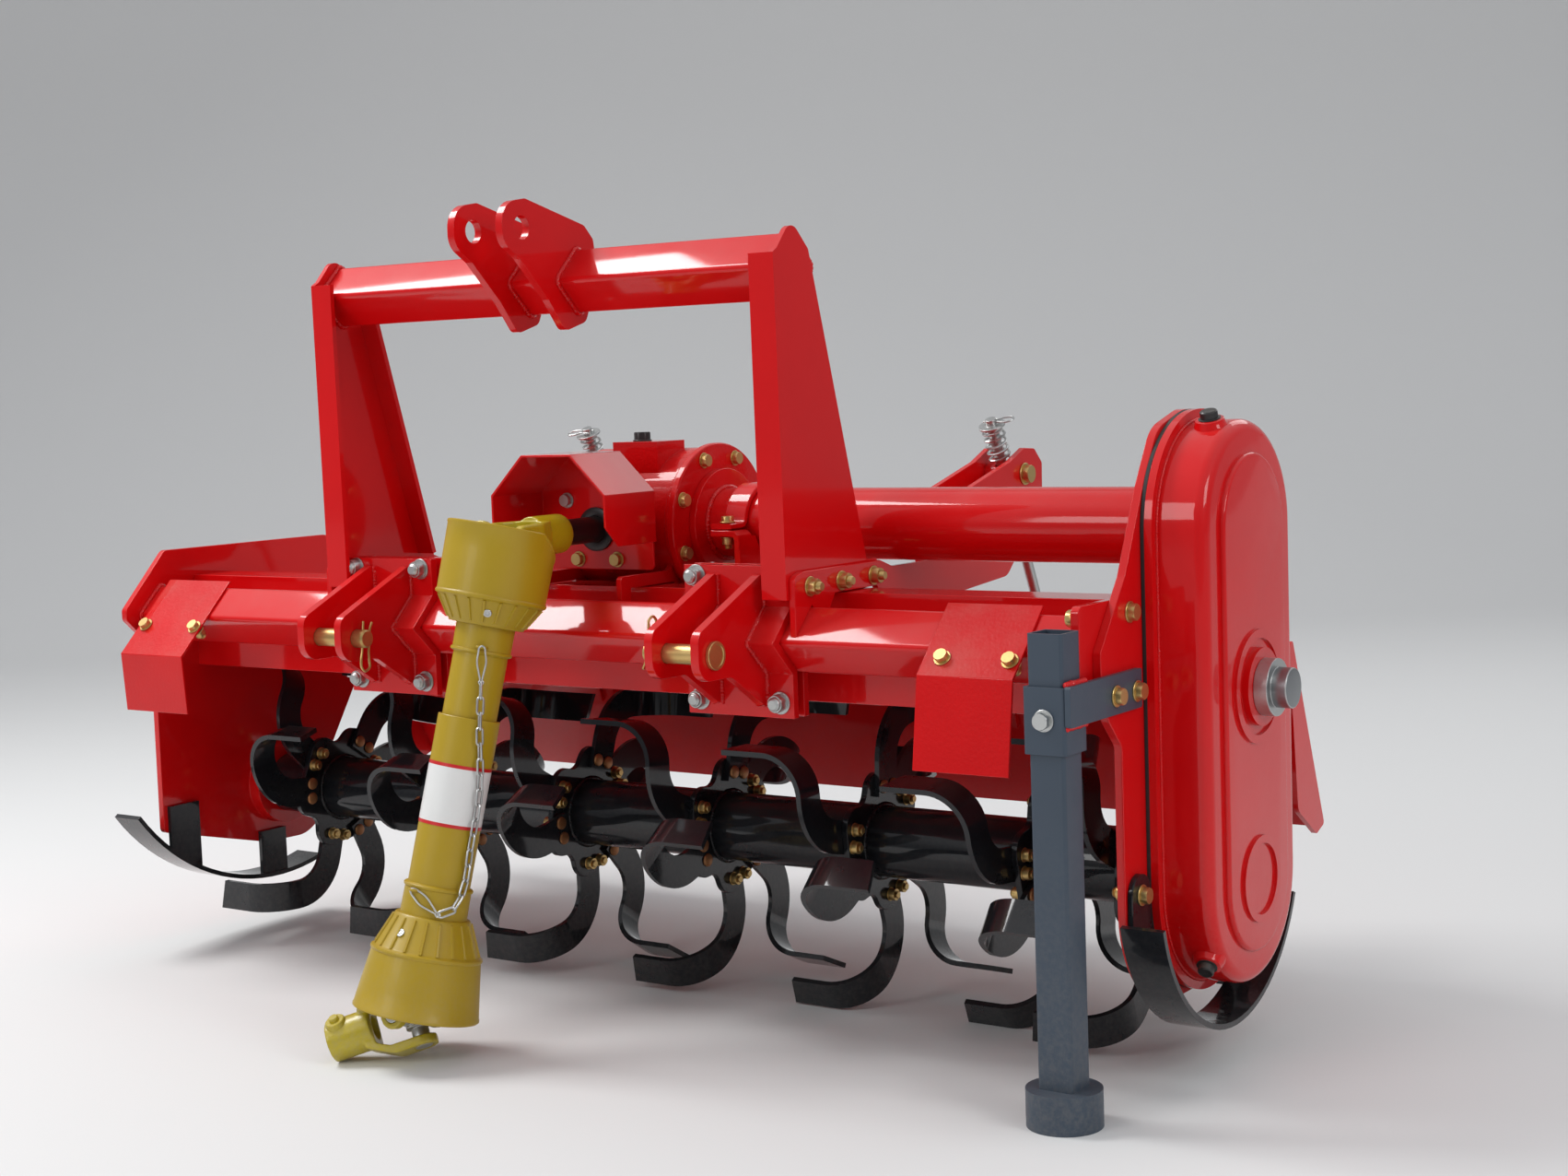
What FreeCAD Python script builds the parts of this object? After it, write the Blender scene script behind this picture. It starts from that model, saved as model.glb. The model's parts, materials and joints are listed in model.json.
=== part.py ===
import FreeCAD, Part
import math
import os

from FreeCAD import Placement, Rotation, Vector

# A three-point-mounted rotary tiller with its drive shaft.
# X points to the right as the front is seen, Y to the rear and Z up. While the pieces are made,
# the toolbar's axis lies on X and heights are measured from it. At the end everything is moved
# so that the origin is the middle of the floor area.

os.makedirs("parts", exist_ok=True)
doc = FreeCAD.newDocument("tiller")
sheet = doc.addObject("Spreadsheet::Sheet", "sizes")

# alias, millimetres or degrees, meaning
SIZES = [
    ("bar_side", 70, "outer side of the square toolbar and top crossbar"),
    ("bar_wall", 6, "wall of the square tubes"),
    ("bar_round", 8, "corner radius of the square tubes"),
    ("bar_high", 600, "height of the toolbar's axis above the floor"),
    ("bar_left", 912, "reach of the toolbar to the left"),
    ("bar_right", 897, "reach of the toolbar to the right"),
    ("end_thick", 12, "thickness of end plates and toolbar flange"),
    ("end_flange", 130, "side of the toolbar's right end flange"),
    ("sheet_thick", 5, "thickness of deck and rear board"),
    ("guard_thick", 4, "thickness of the stone guards"),
    ("mast_out", 448, "outer face of a mast's web from the middle"),
    ("mast_wide", 42, "width of a mast's flanges"),
    ("mast_thick", 8, "thickness of a mast's web and flanges"),
    ("mast_top", 540, "top of a mast's front flange above the toolbar's axis"),
    ("mast_foot", 60, "foot of a mast above the toolbar's axis"),
    ("cross_high", 522, "height of the top crossbar's axis above the toolbar's"),
    ("cross_back", 5.5, "distance of the top crossbar's axis behind the toolbar's"),
    ("link_gap", 80, "gap between the two top link plates"),
    ("link_thick", 13, "thickness of a top link plate"),
    ("link_bore", 17, "radius of the top link holes"),
    ("link_fore", 115, "top link hole in front of the toolbar's axis"),
    ("link_high", 597, "top link hole above the toolbar's axis"),
    ("hitch_out", 341.5, "lower hitch clevis from the middle"),
    ("hitch_fore", 142, "lower hitch pin in front of the toolbar's axis"),
    ("hitch_drop", 8, "lower hitch pin below the toolbar's axis"),
    ("ear_space", 80, "distance between the middles of a clevis's ears"),
    ("ear_thick", 14, "thickness of a clevis ear"),
    ("ear_nose", 35, "radius of a clevis ear's nose"),
    ("clamp_wide", 185, "width of a clevis's clamp plates"),
    ("clamp_thick", 12, "thickness of a clevis's clamp plates"),
    ("clamp_gap", 14, "gap between front and back clamp flanges"),
    ("clamp_top", 105, "top of the clamp plates above the toolbar's axis"),
    ("clamp_drop", 111, "bottom of the clamp plates below the toolbar's axis"),
    ("pin_radius", 14, "radius of the lower hitch pins"),
    ("pin_head", 20, "radius of a hitch pin's head"),
    ("pin_clear", 0.3, "clearance of a pin in its hole"),
    ("drive_back", 250, "gearbox, cross tube and rotor axes behind the toolbar's axis"),
    ("drive_high", 146, "gearbox output and cross tube above the toolbar's axis"),
    ("box_radius", 118, "radius of the gearbox's barrel"),
    ("box_left", 105, "reach of the gearbox's barrel to the left"),
    ("box_right", 108, "reach of the gearbox's barrel to the right"),
    ("cover_radius", 125, "radius of the gearbox's round cover"),
    ("cover_thick", 14, "thickness of the gearbox's round cover"),
    ("tube_radius", 54, "outer radius of the cross tube and rotor tube"),
    ("tube_wall", 8, "wall of the cross tube and rotor tube"),
    ("neck_radius", 85, "radius of the cross tube's flange"),
    ("input_radius", 20, "radius of the input shaft"),
    ("snout_front", 95, "front of the input bearing housing behind the toolbar's axis"),
    ("hood_front", 25, "front edge of the input guard before the toolbar's axis"),
    ("hood_half", 112, "half width of the input guard"),
    ("hood_crown", 48, "half width of the input guard's flat top"),
    ("hood_high", 266, "top of the input guard above the toolbar's axis"),
    ("hood_knee", 205, "top of the input guard's upright sides"),
    ("hood_low", 127, "bottom of the input guard's sides"),
    ("hood_thick", 4, "thickness of the input guard"),
    ("tine_reach", 263, "radius of the rotor at the tine tips"),
    ("tine_thick", 8, "thickness of a tine"),
    ("tine_wide", 50, "width of a tine"),
    ("tine_curve", 75, "radius of a tine's backward curve"),
    ("tine_bend", 62, "radius of a tine's sideways bend"),
    ("tine_turn", 20, "turn of a flange's tines to either side of a lobe's middle"),
    ("tine_side", 134, "sideways reach of a tine"),
    ("disc_radius", 122, "radius of the rotor's flanges"),
    ("disc_thick", 10, "thickness of the rotor's flanges"),
    ("disc_waist", 80, "radius of the rotor's flanges between their lobes"),
    ("disc_left", 130, "first rotor flange from the tube's left end"),
    ("disc_last", 191, "sixth rotor flange from the tube's right end"),
    ("disc_end", 34, "last rotor flange from the tube's right end"),
    ("disc_twist", 8, "turn from one flange's tines to the next"),
    ("rotor_gap", 30, "gap between the rotor tube's ends and the end plates"),
    ("hub_long", 24, "length of the left rotor bearing's housing"),
    ("stub_radius", 30, "radius of the rotor's stub shafts"),
    ("stub_clear", 0.05, "running clearance of shafts in their bearings"),
    ("hub_radius", 75, "radius of the left rotor bearing's housing"),
    ("drive_radius", 160, "flange radius of the side drive's cover"),
    ("case_radius", 145, "radius of the side drive's case"),
    ("case_deep", 69, "depth of the side drive's case"),
    ("panel_radius", 100, "radius of the raised panel on the side drive's cover"),
    ("panel_high", 7, "height of the raised panel on the side drive's cover"),
    ("gasket_thick", 6, "thickness of the side drive's gasket"),
    ("flange_thick", 11, "thickness of the side drive's cover flange"),
    ("idler_drop", 72, "idler axis below the toolbar's axis"),
    ("nut_radius", 39.5, "radius of the idler's ring nut"),
    ("cap_radius", 27.5, "radius of the idler's cap"),
    ("skid_wide", 62, "width of the skids"),
    ("skid_thick", 8, "thickness of the skids"),
    ("leg_side", 50, "side of the stand's leg"),
    ("leg_out", 891, "middle of the stand's leg from the middle"),
    ("leg_fore", 101, "middle of the stand's leg in front of the toolbar's axis"),
    ("leg_top", 37, "top of the stand's leg above the toolbar's axis"),
    ("leg_clear", 0.3, "clearance of the leg in its sleeve"),
    ("sleeve_side", 60, "side of the stand's sleeve"),
    ("foot_radius", 50, "radius of the stand's foot"),
    ("foot_high", 50, "height of the stand's foot"),
    ("arm_thick", 10, "thickness of the side arms"),
    ("arm_gap", 55, "gap between a side arm's two plates"),
    ("rod_radius", 9, "radius of the board's spring rods"),
    ("rod_clear", 1.5, "clearance of a spring rod in its swivel"),
    ("swivel_back", 625, "swivel axis behind the toolbar's axis"),
    ("swivel_high", 200, "swivel axis above the toolbar's axis"),
    ("swivel_radius", 19, "radius of the swivel barrel"),
    ("rod_above", 100, "length of a spring rod above its swivel"),
    ("hinge_back", 550, "rear board's hinge behind the toolbar's axis"),
    ("hinge_drop", 38, "rear board's hinge below the toolbar's axis"),
    ("hinge_radius", 8, "radius of the rear board's hinge rod"),
    ("lug_back", 763, "rod eye behind the toolbar's axis"),
    ("lug_drop", 99, "rod eye below the toolbar's axis"),
    ("board_half", 928, "half width of the rear board"),
    ("spring_wire", 4.5, "wire of the board's springs"),
    ("spring_radius", 17, "middle radius of the board's springs"),
    ("joint_fore", 130, "upper shaft joint in front of the toolbar's axis"),
    ("shaft_side", 70, "lower shaft joint to the left of the upper one"),
    ("shaft_fore", 155, "lower shaft joint in front of the upper one"),
    ("ear_in", 37, "inner face of a yoke's ears from the joint"),
    ("ear_out", 51, "outer face of a yoke's ears from the joint"),
    ("ear_half", 22, "radius of a yoke's ears"),
    ("throat_deep", 62, "depth of a yoke's throat from the joint"),
    ("hub_end", 130, "end of an outer yoke's hub from the joint"),
    ("yoke_hub", 30, "radius of an outer yoke's hub"),
    ("yoke_bore", 17.5, "radius of an outer yoke's splined bore"),
    ("trunnion", 13, "radius of the cross journals"),
    ("inner_bar", 20, "radius of the inner telescoping bar"),
    ("outer_bar", 26, "radius of the outer telescoping tube"),
    ("cone_radius", 81, "radius of the shaft guards' cones at their waist"),
    ("mouth_upper", 82, "radius of the upper guard's mouth"),
    ("mouth_lower", 92, "radius of the lower guard's mouth"),
    ("mouth_slope", 0.6, "slope of the upper guard's mouth behind its middle"),
    ("cone_wall", 3, "wall of the plastic shaft guards"),
    ("small_guard", 40, "radius of the inner guard tube"),
    ("large_guard", 45.5, "radius of the outer guard tube"),
]


class Size(float):
    """A number that remembers the sheet expression it was worked out from."""

    def __new__(cls, value, words):
        made = super().__new__(cls, value)
        made.words = words
        return made

    def __add__(self, other):
        return Size(float(self) + float(other), f"({self.words} + {words(other)})")

    def __radd__(self, other):
        return Size(float(other) + float(self), f"({words(other)} + {self.words})")

    def __sub__(self, other):
        return Size(float(self) - float(other), f"({self.words} - {words(other)})")

    def __rsub__(self, other):
        return Size(float(other) - float(self), f"({words(other)} - {self.words})")

    def __mul__(self, other):
        return Size(float(self) * float(other), f"({self.words} * {words(other)})")

    def __rmul__(self, other):
        return Size(float(other) * float(self), f"({words(other)} * {self.words})")

    def __truediv__(self, other):
        return Size(float(self) / float(other), f"({self.words} / {words(other)})")

    def __neg__(self):
        return Size(-float(self), f"(0 - {self.words})")


def words(value):
    """The sheet expression of a size, or a plain number's digits."""
    if isinstance(value, Size):
        return value.words
    return format(float(value), ".6f")


class Values:
    """The driving sizes, one attribute each."""


S = Values()
for line, (alias, value, meaning) in enumerate(SIZES, 1):
    sheet.set(f"A{line}", alias)
    sheet.set(f"B{line}", str(value))
    sheet.setAlias(f"B{line}", alias)
    sheet.set(f"C{line}", meaning)
    setattr(S, alias, Size(value, f"sizes.{alias}"))
doc.recompute()

nodes = []


def keep(thing, label):
    """Name an object as a sub-part of the machine."""
    thing.Label = label
    nodes.append(thing)
    return thing


def rounded(outline):
    """Edges of a closed outline of (u, v) or (u, v, corner radius) points, as lines and arcs."""
    count = len(outline)
    corners = []
    for here in range(count):
        before = Vector(*[float(v) for v in outline[here - 1][:2]], 0)
        point = Vector(*[float(v) for v in outline[here][:2]], 0)
        after = Vector(*[float(v) for v in outline[(here + 1) % count][:2]], 0)
        radius = float(outline[here][2]) if len(outline[here]) > 2 else 0.0
        if radius <= 0:
            corners.append((point, point, None))
            continue
        back = (before - point).normalize()
        onward = (after - point).normalize()
        half = back.getAngle(onward) / 2
        leg = radius / math.tan(half)
        middle = point + (back + onward).normalize() * (radius / math.sin(half))
        through = middle + (point - middle).normalize() * radius
        corners.append((point + back * leg, point + onward * leg, through))
    edges = []
    for here in range(count):
        start, end, through = corners[here]
        if through is not None:
            edges.append(Part.Arc(start, through, end))
        onward = corners[(here + 1) % count][0]
        if end.distanceToPoint(onward) > 1e-6:
            edges.append(Part.LineSegment(end, onward))
    return edges


def ring(u, v, radius):
    """A full circle about (u, v) as an outline."""
    return [Part.Circle(Vector(float(u), float(v), 0), Vector(0, 0, 1), float(radius))]


PLANES = {"X": ("YZ_Plane", 1), "Y": ("XZ_Plane", -1), "Z": ("XY_Plane", 1)}


def draw(body, along, level, loops):
    """A sketch square to an axis, at a level along it, with each loop of edges or points."""
    role, sense = PLANES[along]
    sketch = body.newObject("Sketcher::SketchObject", "sketch")
    plane = [o for o in body.Origin.OriginFeatures if o.Role == role][0]
    sketch.AttachmentSupport = [(plane, "")]
    sketch.MapMode = "FlatFace"
    sketch.setExpression("AttachmentOffset.Base.z", words(level * sense))
    for loop in loops:
        edges = loop if hasattr(loop[0], "toShape") else rounded(loop)
        sketch.addGeometry(edges, False)
    return sketch


def plates(label, layers, named=True):
    """A body of one or more flat layers: axis, start, thickness and loops for each."""
    body = doc.addObject("PartDesign::Body", label)
    for along, start, thick, loops in layers:
        level = start + thick if along == "Y" else start
        sketch = draw(body, along, level, loops)
        pad = body.newObject("PartDesign::Pad", "pad")
        pad.Profile = sketch
        pad.setExpression("Length", words(thick))
        doc.recompute()
    return keep(body, label) if named else body


def turned(label, outline, base=(0, 0, 0), towards=(0, 0, 1), side=None, named=True):
    """A body turned about an axis from (radius, distance) points, then set at a base."""
    body = doc.addObject("PartDesign::Body", label)
    sketch = draw(body, "Y", Size(0, "0"), [outline])
    spin = body.newObject("PartDesign::Revolution", "spin")
    spin.Profile = sketch
    spin.ReferenceAxis = (sketch, ["V_Axis"])
    spin.Angle = 360
    body.Placement = Placement(Vector(*map(float, base)), facing(towards, side))
    doc.recompute()
    return keep(body, label) if named else body


def facing(towards, side=None):
    """The turn that takes +Z to one direction and, where given, +X to another."""
    up = Vector(*map(float, towards)).normalize()
    if side is None:
        return Rotation(Vector(0, 0, 1), up)
    across = Vector(*map(float, side)).normalize()
    return Rotation(across, up.cross(across), up, "ZXY")


def rod(label, radius, start, end, bore=0, named=True):
    """A cylinder between two points, with a bore where one is given."""
    first = Vector(*map(float, start))
    run = Vector(*map(float, end)) - first
    solid = doc.addObject("Part::Cylinder", label)
    solid.setExpression("Radius", words(radius))
    solid.Height = run.Length
    solid.Placement = Placement(first, facing(run))
    if bore:
        hole = doc.addObject("Part::Cylinder", "hole")
        hole.setExpression("Radius", words(bore))
        hole.Height = run.Length
        hole.Placement = solid.Placement
        solid = less(label, solid, [hole], named=False)
    return keep(solid, label) if named else solid


def block(label, low, high, named=True):
    """A box between two corners."""
    solid = doc.addObject("Part::Box", label)
    for side, a, b in zip(("Length", "Width", "Height"), low, high):
        solid.setExpression(side, words(b - a))
    solid.Placement = Placement(Vector(*map(float, low)), Rotation())
    return keep(solid, label) if named else solid


def joined(label, pieces, named=True):
    """Pieces welded or cast into one."""
    whole = doc.addObject("Part::MultiFuse", label)
    whole.Shapes = pieces
    whole.Refine = True
    return keep(whole, label) if named else whole


def less(label, base, tools, named=True):
    """A piece with other shapes taken out of it."""
    cut = doc.addObject("Part::Cut", label)
    cut.Base = base
    cut.Tool = tools[0] if len(tools) == 1 else joined("tools", tools, named=False)
    return keep(cut, label) if named else cut


def shared(label, first, second, named=True):
    """What two shapes have in common."""
    both = doc.addObject("Part::MultiCommon", label)
    both.Shapes = [first, second]
    return keep(both, label) if named else both


def together(label, pieces):
    """Like pieces that share a node without touching."""
    doc.recompute()
    group = doc.addObject("Part::Compound", label)
    group.Links = pieces
    return keep(group, label)


def diamond(y, z, side, corner):
    """A square tube's outline standing on its edge about (y, z)."""
    reach = side / math.sqrt(2)
    return [(y, z + reach, corner), (y + reach, z, corner), (y, z - reach, corner), (y - reach, z, corner)]


def obround(radius, low, high, y):
    """A slot-shaped outline between two heights."""
    r = float(radius)
    y, low, high = float(y), float(low), float(high)
    return [
        Part.Arc(Vector(y + r, high, 0), Vector(y, high + r, 0), Vector(y - r, high, 0)),
        Part.LineSegment(Vector(y - r, high, 0), Vector(y - r, low, 0)),
        Part.Arc(Vector(y - r, low, 0), Vector(y, low - r, 0), Vector(y + r, low, 0)),
        Part.LineSegment(Vector(y + r, low, 0), Vector(y + r, high, 0)),
    ]


def strip(points, thick):
    """Edges of a bent strip: (y, z) points along one face, thickened to the left of the way."""
    ways = []
    for start, end in zip(points, points[1:]):
        run = Vector(end[0] - start[0], end[1] - start[1], 0).normalize()
        ways.append(Vector(-run.y, run.x, 0))
    far = []
    for here, point in enumerate(points):
        near = ways[max(here - 1, 0)]
        onward = ways[min(here, len(ways) - 1)]
        lean = near + onward
        lean = lean * (2.0 / (lean.Length ** 2))
        far.append((point[0] + lean.x * float(thick), point[1] + lean.y * float(thick)))
    return [tuple(p) for p in points] + far[::-1]


# Driving values that several pieces share
bar_reach = S.bar_side / math.sqrt(2)
bar_tip = float(bar_reach)
floor = -S.bar_high
rotor_z = S.tine_reach - S.bar_high
tine_sweep = math.radians(75)
plate_in = S.bar_right + S.end_thick
plate_out = plate_in + S.end_thick
case_in = plate_out + S.gasket_thick
rotor_left = S.rotor_gap - S.bar_left
rotor_right = plate_in - S.rotor_gap
zero = Size(0, "0")


def toolbar():
    """Square tube on its edge, with the right end flange welded on."""
    inner = S.bar_side - S.bar_wall * 2
    hollow = diamond(0, 0, inner, S.bar_round - S.bar_wall)
    half = S.end_flange / 2
    flange = [(-half, -half, 10), (half, -half, 10), (half, half, 10), (-half, half, 10)]
    return plates("toolbar", [
        ("X", -S.bar_left, S.bar_left + S.bar_right, [diamond(0, 0, S.bar_side, S.bar_round), hollow]),
        ("X", S.bar_right, S.end_thick, [flange]),
    ])


def mast(side, name):
    """Upright channel, wide at its foot, open towards the middle."""
    top = float(S.mast_top)
    foot = float(S.mast_foot)
    web = [
        (-48, foot), (-52, top), (-42, top + 6), (-6, top + 46, 20), (35, top + 6, 6), (160, 100), (190, 100, 8),
        (190, foot),
    ]
    front = strip([(-48, foot), (-52, top)], -float(S.mast_thick))
    rear = strip([(53.5, top - 60), (160, 100)], -float(S.mast_thick))
    web_low = S.mast_out - S.mast_thick if side > 0 else -S.mast_out
    flange_low = S.mast_out - S.mast_wide if side > 0 else S.mast_thick - S.mast_out
    reach = S.mast_wide - S.mast_thick
    return plates(name, [
        ("X", web_low, S.mast_thick, [web]),
        ("X", flange_low, reach, [front]),
        ("X", flange_low, reach, [rear]),
    ])


def top_crossbar():
    """Square tube on its edge between the masts."""
    inner = S.bar_side - S.bar_wall * 2
    reach = S.mast_out - S.mast_thick
    loops = [
        diamond(S.cross_back, S.cross_high, S.bar_side, S.bar_round),
        diamond(S.cross_back, S.cross_high, inner, S.bar_round - S.bar_wall),
    ]
    return plates("top_crossbar", [("X", -reach, reach * 2, loops)])


def top_link_plates():
    """Two drilled plates slotted over the crossbar."""
    y = -float(S.link_fore)
    z = float(S.link_high)
    outline = [
        (y - 42, z + 34, 36), (y + 10, z + 42, 14), (26, z + 8, 12), (46, z - 12, 10), (54, z - 64, 8),
        (22, 462, 16), (-26, 448, 14), (-62, 494, 8), (y - 6, 552, 10), (y - 42, z - 22, 30),
    ]
    plates_made = []
    for side in (-1, 1):
        start = S.link_gap / 2 if side > 0 else -S.link_gap / 2 - S.link_thick
        blank = plates("link", [("X", start, S.link_thick, [outline])], named=False)
        bar = plates("bar", [("X", start, S.link_thick, [diamond(S.cross_back, S.cross_high, S.bar_side, S.bar_round)])],
                     named=False)
        hole = rod("hole", S.link_bore, (start, y, z), (start + S.link_thick, y, z), named=False)
        plates_made.append(less("link_plate", blank, [bar, hole], named=False))
    return together("top_link_plates", plates_made)


def clevis(side, name):
    """Front clamp plate bent round the toolbar, with two ears for the lower hitch pin."""
    half_gap = float(S.clamp_gap) / 2
    thick = float(S.clamp_thick)
    face = half_gap + thick
    fold = thick * math.sqrt(2)
    top = float(S.clamp_top)
    drop = float(S.clamp_drop)
    bent = [
        (-half_gap, top), (-face, top), (-face, bar_tip + fold - face), (-bar_tip - fold, 0),
        (-face, face - bar_tip - fold), (-face, -drop), (-half_gap, -drop), (-half_gap, half_gap - bar_tip),
        (-bar_tip, 0), (-half_gap, bar_tip - half_gap),
    ]
    y = -float(S.hitch_fore)
    z = -float(S.hitch_drop)
    nose = float(S.ear_nose)
    ear = [
        (-face, 96, 6), (y - nose, z + 32, 22), (y - nose, z - nose, nose * 0.8), (y + 40, z - nose, 20),
        (-face, -98, 6), (-face, face - bar_tip - fold), (-bar_tip - fold, 0), (-face, bar_tip + fold - face),
    ]
    middle = S.hitch_out * side
    low = middle - S.clamp_wide / 2
    first = middle - (S.ear_space + S.ear_thick) / 2
    second = middle + (S.ear_space - S.ear_thick) / 2
    body = plates("clevis", [
        ("X", low, S.clamp_wide, [bent]), ("X", first, S.ear_thick, [ear]), ("X", second, S.ear_thick, [ear]),
    ], named=False)
    hole = rod("hole", S.pin_radius + S.pin_clear, (low, y, z), (low + S.clamp_wide, y, z), named=False)
    return less(name, body, [hole])


def clevis_clamps():
    """Back halves of the two toolbar clamps."""
    half_gap = float(S.clamp_gap) / 2
    thick = float(S.clamp_thick)
    face = half_gap + thick
    fold = thick * math.sqrt(2)
    top = float(S.clamp_top)
    drop = float(S.clamp_drop)
    bent = [
        (half_gap, top), (face, top), (face, bar_tip + fold - face), (bar_tip + fold, 0),
        (face, face - bar_tip - fold), (face, -drop), (half_gap, -drop), (half_gap, half_gap - bar_tip),
        (bar_tip, 0), (half_gap, bar_tip - half_gap),
    ]
    halves = [
        plates("half", [("X", S.hitch_out * side - S.clamp_wide / 2, S.clamp_wide, [bent])], named=False)
        for side in (-1, 1)
    ]
    return together("clevis_clamps", halves)


def hitch_pins():
    """Headed pins through the clevis ears."""
    y = -S.hitch_fore
    z = -S.hitch_drop
    pins = []
    reach = S.ear_space / 2 + S.ear_thick / 2
    for side in (-1, 1):
        middle = S.hitch_out * side
        shank = rod("shank", S.pin_radius, (middle - reach - 22, y, z), (middle + reach, y, z), named=False)
        head = rod("head", S.pin_head, (middle + reach, y, z), (middle + reach + 6, y, z), named=False)
        pins.append(joined("pin", [shank, head], named=False))
    return together("hitch_pins", pins)


def gearbox_housing():
    """Cast barrel with its input snout, filler boss and foot."""
    y = S.drive_back
    z = S.drive_high
    barrel = rod("barrel", S.box_radius, (-S.box_left, y, z), (S.box_right, y, z), named=False)
    cap = rod("cap", S.box_radius - 20, (-S.box_left - 16, y, z), (-S.box_left, y, z), named=False)
    snout = turned("snout", [(0, 0), (62, 0), (66, 30), (92, 80), (0, 80)],
                   base=(0, S.snout_front, z), towards=(0, 1, 0), named=False)
    boss = block("boss", (zero - 22, y - 85, z), (zero + 66, y - 15, z + 131), named=False)
    foot = block("foot", (-90 + zero, y - 75, zero + 20), (90 + zero, y + 75, z), named=False)
    return joined("gearbox_housing", [barrel, cap, snout, boss, foot])


def gearbox_cover():
    """Round bolted cover at the cross tube's side."""
    y = S.drive_back
    z = S.drive_high
    return rod("gearbox_cover", S.cover_radius, (S.box_right, y, z), (S.box_right + S.cover_thick, y, z))


def gearbox_cradle():
    """Two upright plates that carry the gearbox on the toolbar and the deck."""
    outline = [
        (20, bar_tip - 20), (20, 80, 8), (140, 80, 20), (170, 110, 10), (330, 110, 10), (345, 20, 10),
        (345, -18), (175, -18), (152, 61), (44, 61), (40, bar_tip - 40),
    ]
    made = []
    for start in (-100, 90):
        cheek = plates("cheek", [("X", zero + start, zero + 10, [outline])], named=False)
        seat = rod("seat", S.box_radius, (zero + start, S.drive_back, S.drive_high),
                   (zero + start + 10, S.drive_back, S.drive_high), named=False)
        made.append(less("cheek", cheek, [seat], named=False))
    return together("gearbox_cradle", made)


def input_shaft():
    """Black input shaft between the gearbox snout and the shaft yoke."""
    start = (0, -S.joint_fore + S.hub_end, S.drive_high)
    return rod("input_shaft", S.input_radius, start, (0, S.snout_front, S.drive_high))


def input_guard():
    """Folded hood over the input shaft with its back plate."""
    t = float(S.hood_thick)
    half = float(S.hood_half)
    crown = float(S.hood_crown)
    high = float(S.hood_high)
    knee = float(S.hood_knee)
    low = float(S.hood_low)
    lean = t * math.tan(math.radians(22))
    loop = [
        (-half, low), (-half, knee), (-crown, high), (crown, high), (half, knee), (half, low), (half - t, low),
        (half - t, knee - lean), (crown - lean, high - t), (lean - crown, high - t), (t - half, knee - lean),
        (t - half, low),
    ]
    deep = S.hood_front + S.snout_front
    fold = plates("fold", [("Y", -S.hood_front, deep, [loop])], named=False)
    side_view = [(-float(S.hood_front), high + 1), (-float(S.hood_front), low + 30), (5, low),
                 (float(S.snout_front), low), (float(S.snout_front), high + 1)]
    profile = plates("profile", [("X", -S.hood_half, S.hood_half * 2, [side_view])], named=False)
    hood = shared("hood", fold, profile, named=False)
    back = [(-half + t, 84, 8), (-half + t, knee - lean), (lean - crown, high - t), (crown - lean, high - t),
            (half - t, knee - lean), (half - t, 84, 8)]
    plate = plates("back", [("Y", S.snout_front - S.hood_thick, S.hood_thick, [back])], named=False)
    hole = rod("hole", S.input_radius + 6, (0, 0, S.drive_high), (0, 200, S.drive_high), named=False)
    return less("input_guard", joined("folded", [hood, plate], named=False), [hole])


def cross_tube():
    """Round tube from the gearbox cover to the side plate, with its flange."""
    y = S.drive_back
    z = S.drive_high
    start = S.box_right + S.cover_thick
    tube = rod("tube", S.tube_radius, (start, y, z), (plate_in, y, z), named=False)
    flange = rod("flange", S.neck_radius, (start, y, z), (start + 12, y, z), named=False)
    bore = rod("bore", S.tube_radius - S.tube_wall, (start, y, z), (plate_in, y, z), named=False)
    return less("cross_tube", joined("welded", [tube, flange], named=False), [bore])


def deck():
    """Bent cover sheet over the rotor, with the hinge lugs of the rear board."""
    bends = [(75, -100), (75, 60), (150, 60), (174, -18), (345, -18), (528, -36)]
    loop = strip(bends, -float(S.sheet_thick))
    sheet_layer = ("X", -S.bar_left, S.bar_left + plate_in, [loop])
    y = float(S.hinge_back)
    z = -float(S.hinge_drop)
    lug = [(500, z - 8), (500, z + 3), (y, z + 16, 12), (y + 15, z, 12), (y, z - 16, 12)]
    layers = [sheet_layer]
    for middle in (-880, 0, 880):
        layers.append(("X", zero + middle - 10, zero + 20, [lug]))
    sheet_body = plates("cover", layers, named=False)
    rod_hole = rod("hole", S.hinge_radius, (-S.bar_left, y, z), (plate_in, y, z), named=False)
    return less("deck", sheet_body, [rod_hole])


def hinge_rod():
    """Rod on which the rear board swings."""
    y = S.hinge_back
    z = -S.hinge_drop
    return rod("hinge_rod", S.hinge_radius, (17 - S.bar_left, y, z), (plate_in - 14, y, z))


def end_plate_left():
    """Left end plate with the rotor's bearing housing."""
    y = float(S.drive_back)
    z = float(rotor_z)
    outline = [
        (-78, 12, 12), (13, 108, 14), (409, 107, 40), (530, -62, 12), (y + 118, z + 20, 40), (y + 100, z - 112, 70),
        (y - 40, z - 108, 40), (-24, -385, 10), (-22, -60, 20), (-78, -6, 10),
    ]
    plate = plates("plate", [("X", -S.bar_left - S.end_thick, S.end_thick, [outline])], named=False)
    hub = rod("hub", S.hub_radius, (-S.bar_left, y, z), (S.hub_long - S.bar_left, y, z), named=False)
    cap = rod("cap", S.hub_radius, (-S.bar_left - S.end_thick - 20, y, z), (-S.bar_left - S.end_thick, y, z),
              named=False)
    bore = rod("bore", S.stub_radius + S.stub_clear, (-S.bar_left, y, z), (S.hub_long - S.bar_left, y, z), named=False)
    return less("end_plate_left", joined("welded", [plate, hub, cap], named=False), [bore])


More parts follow.
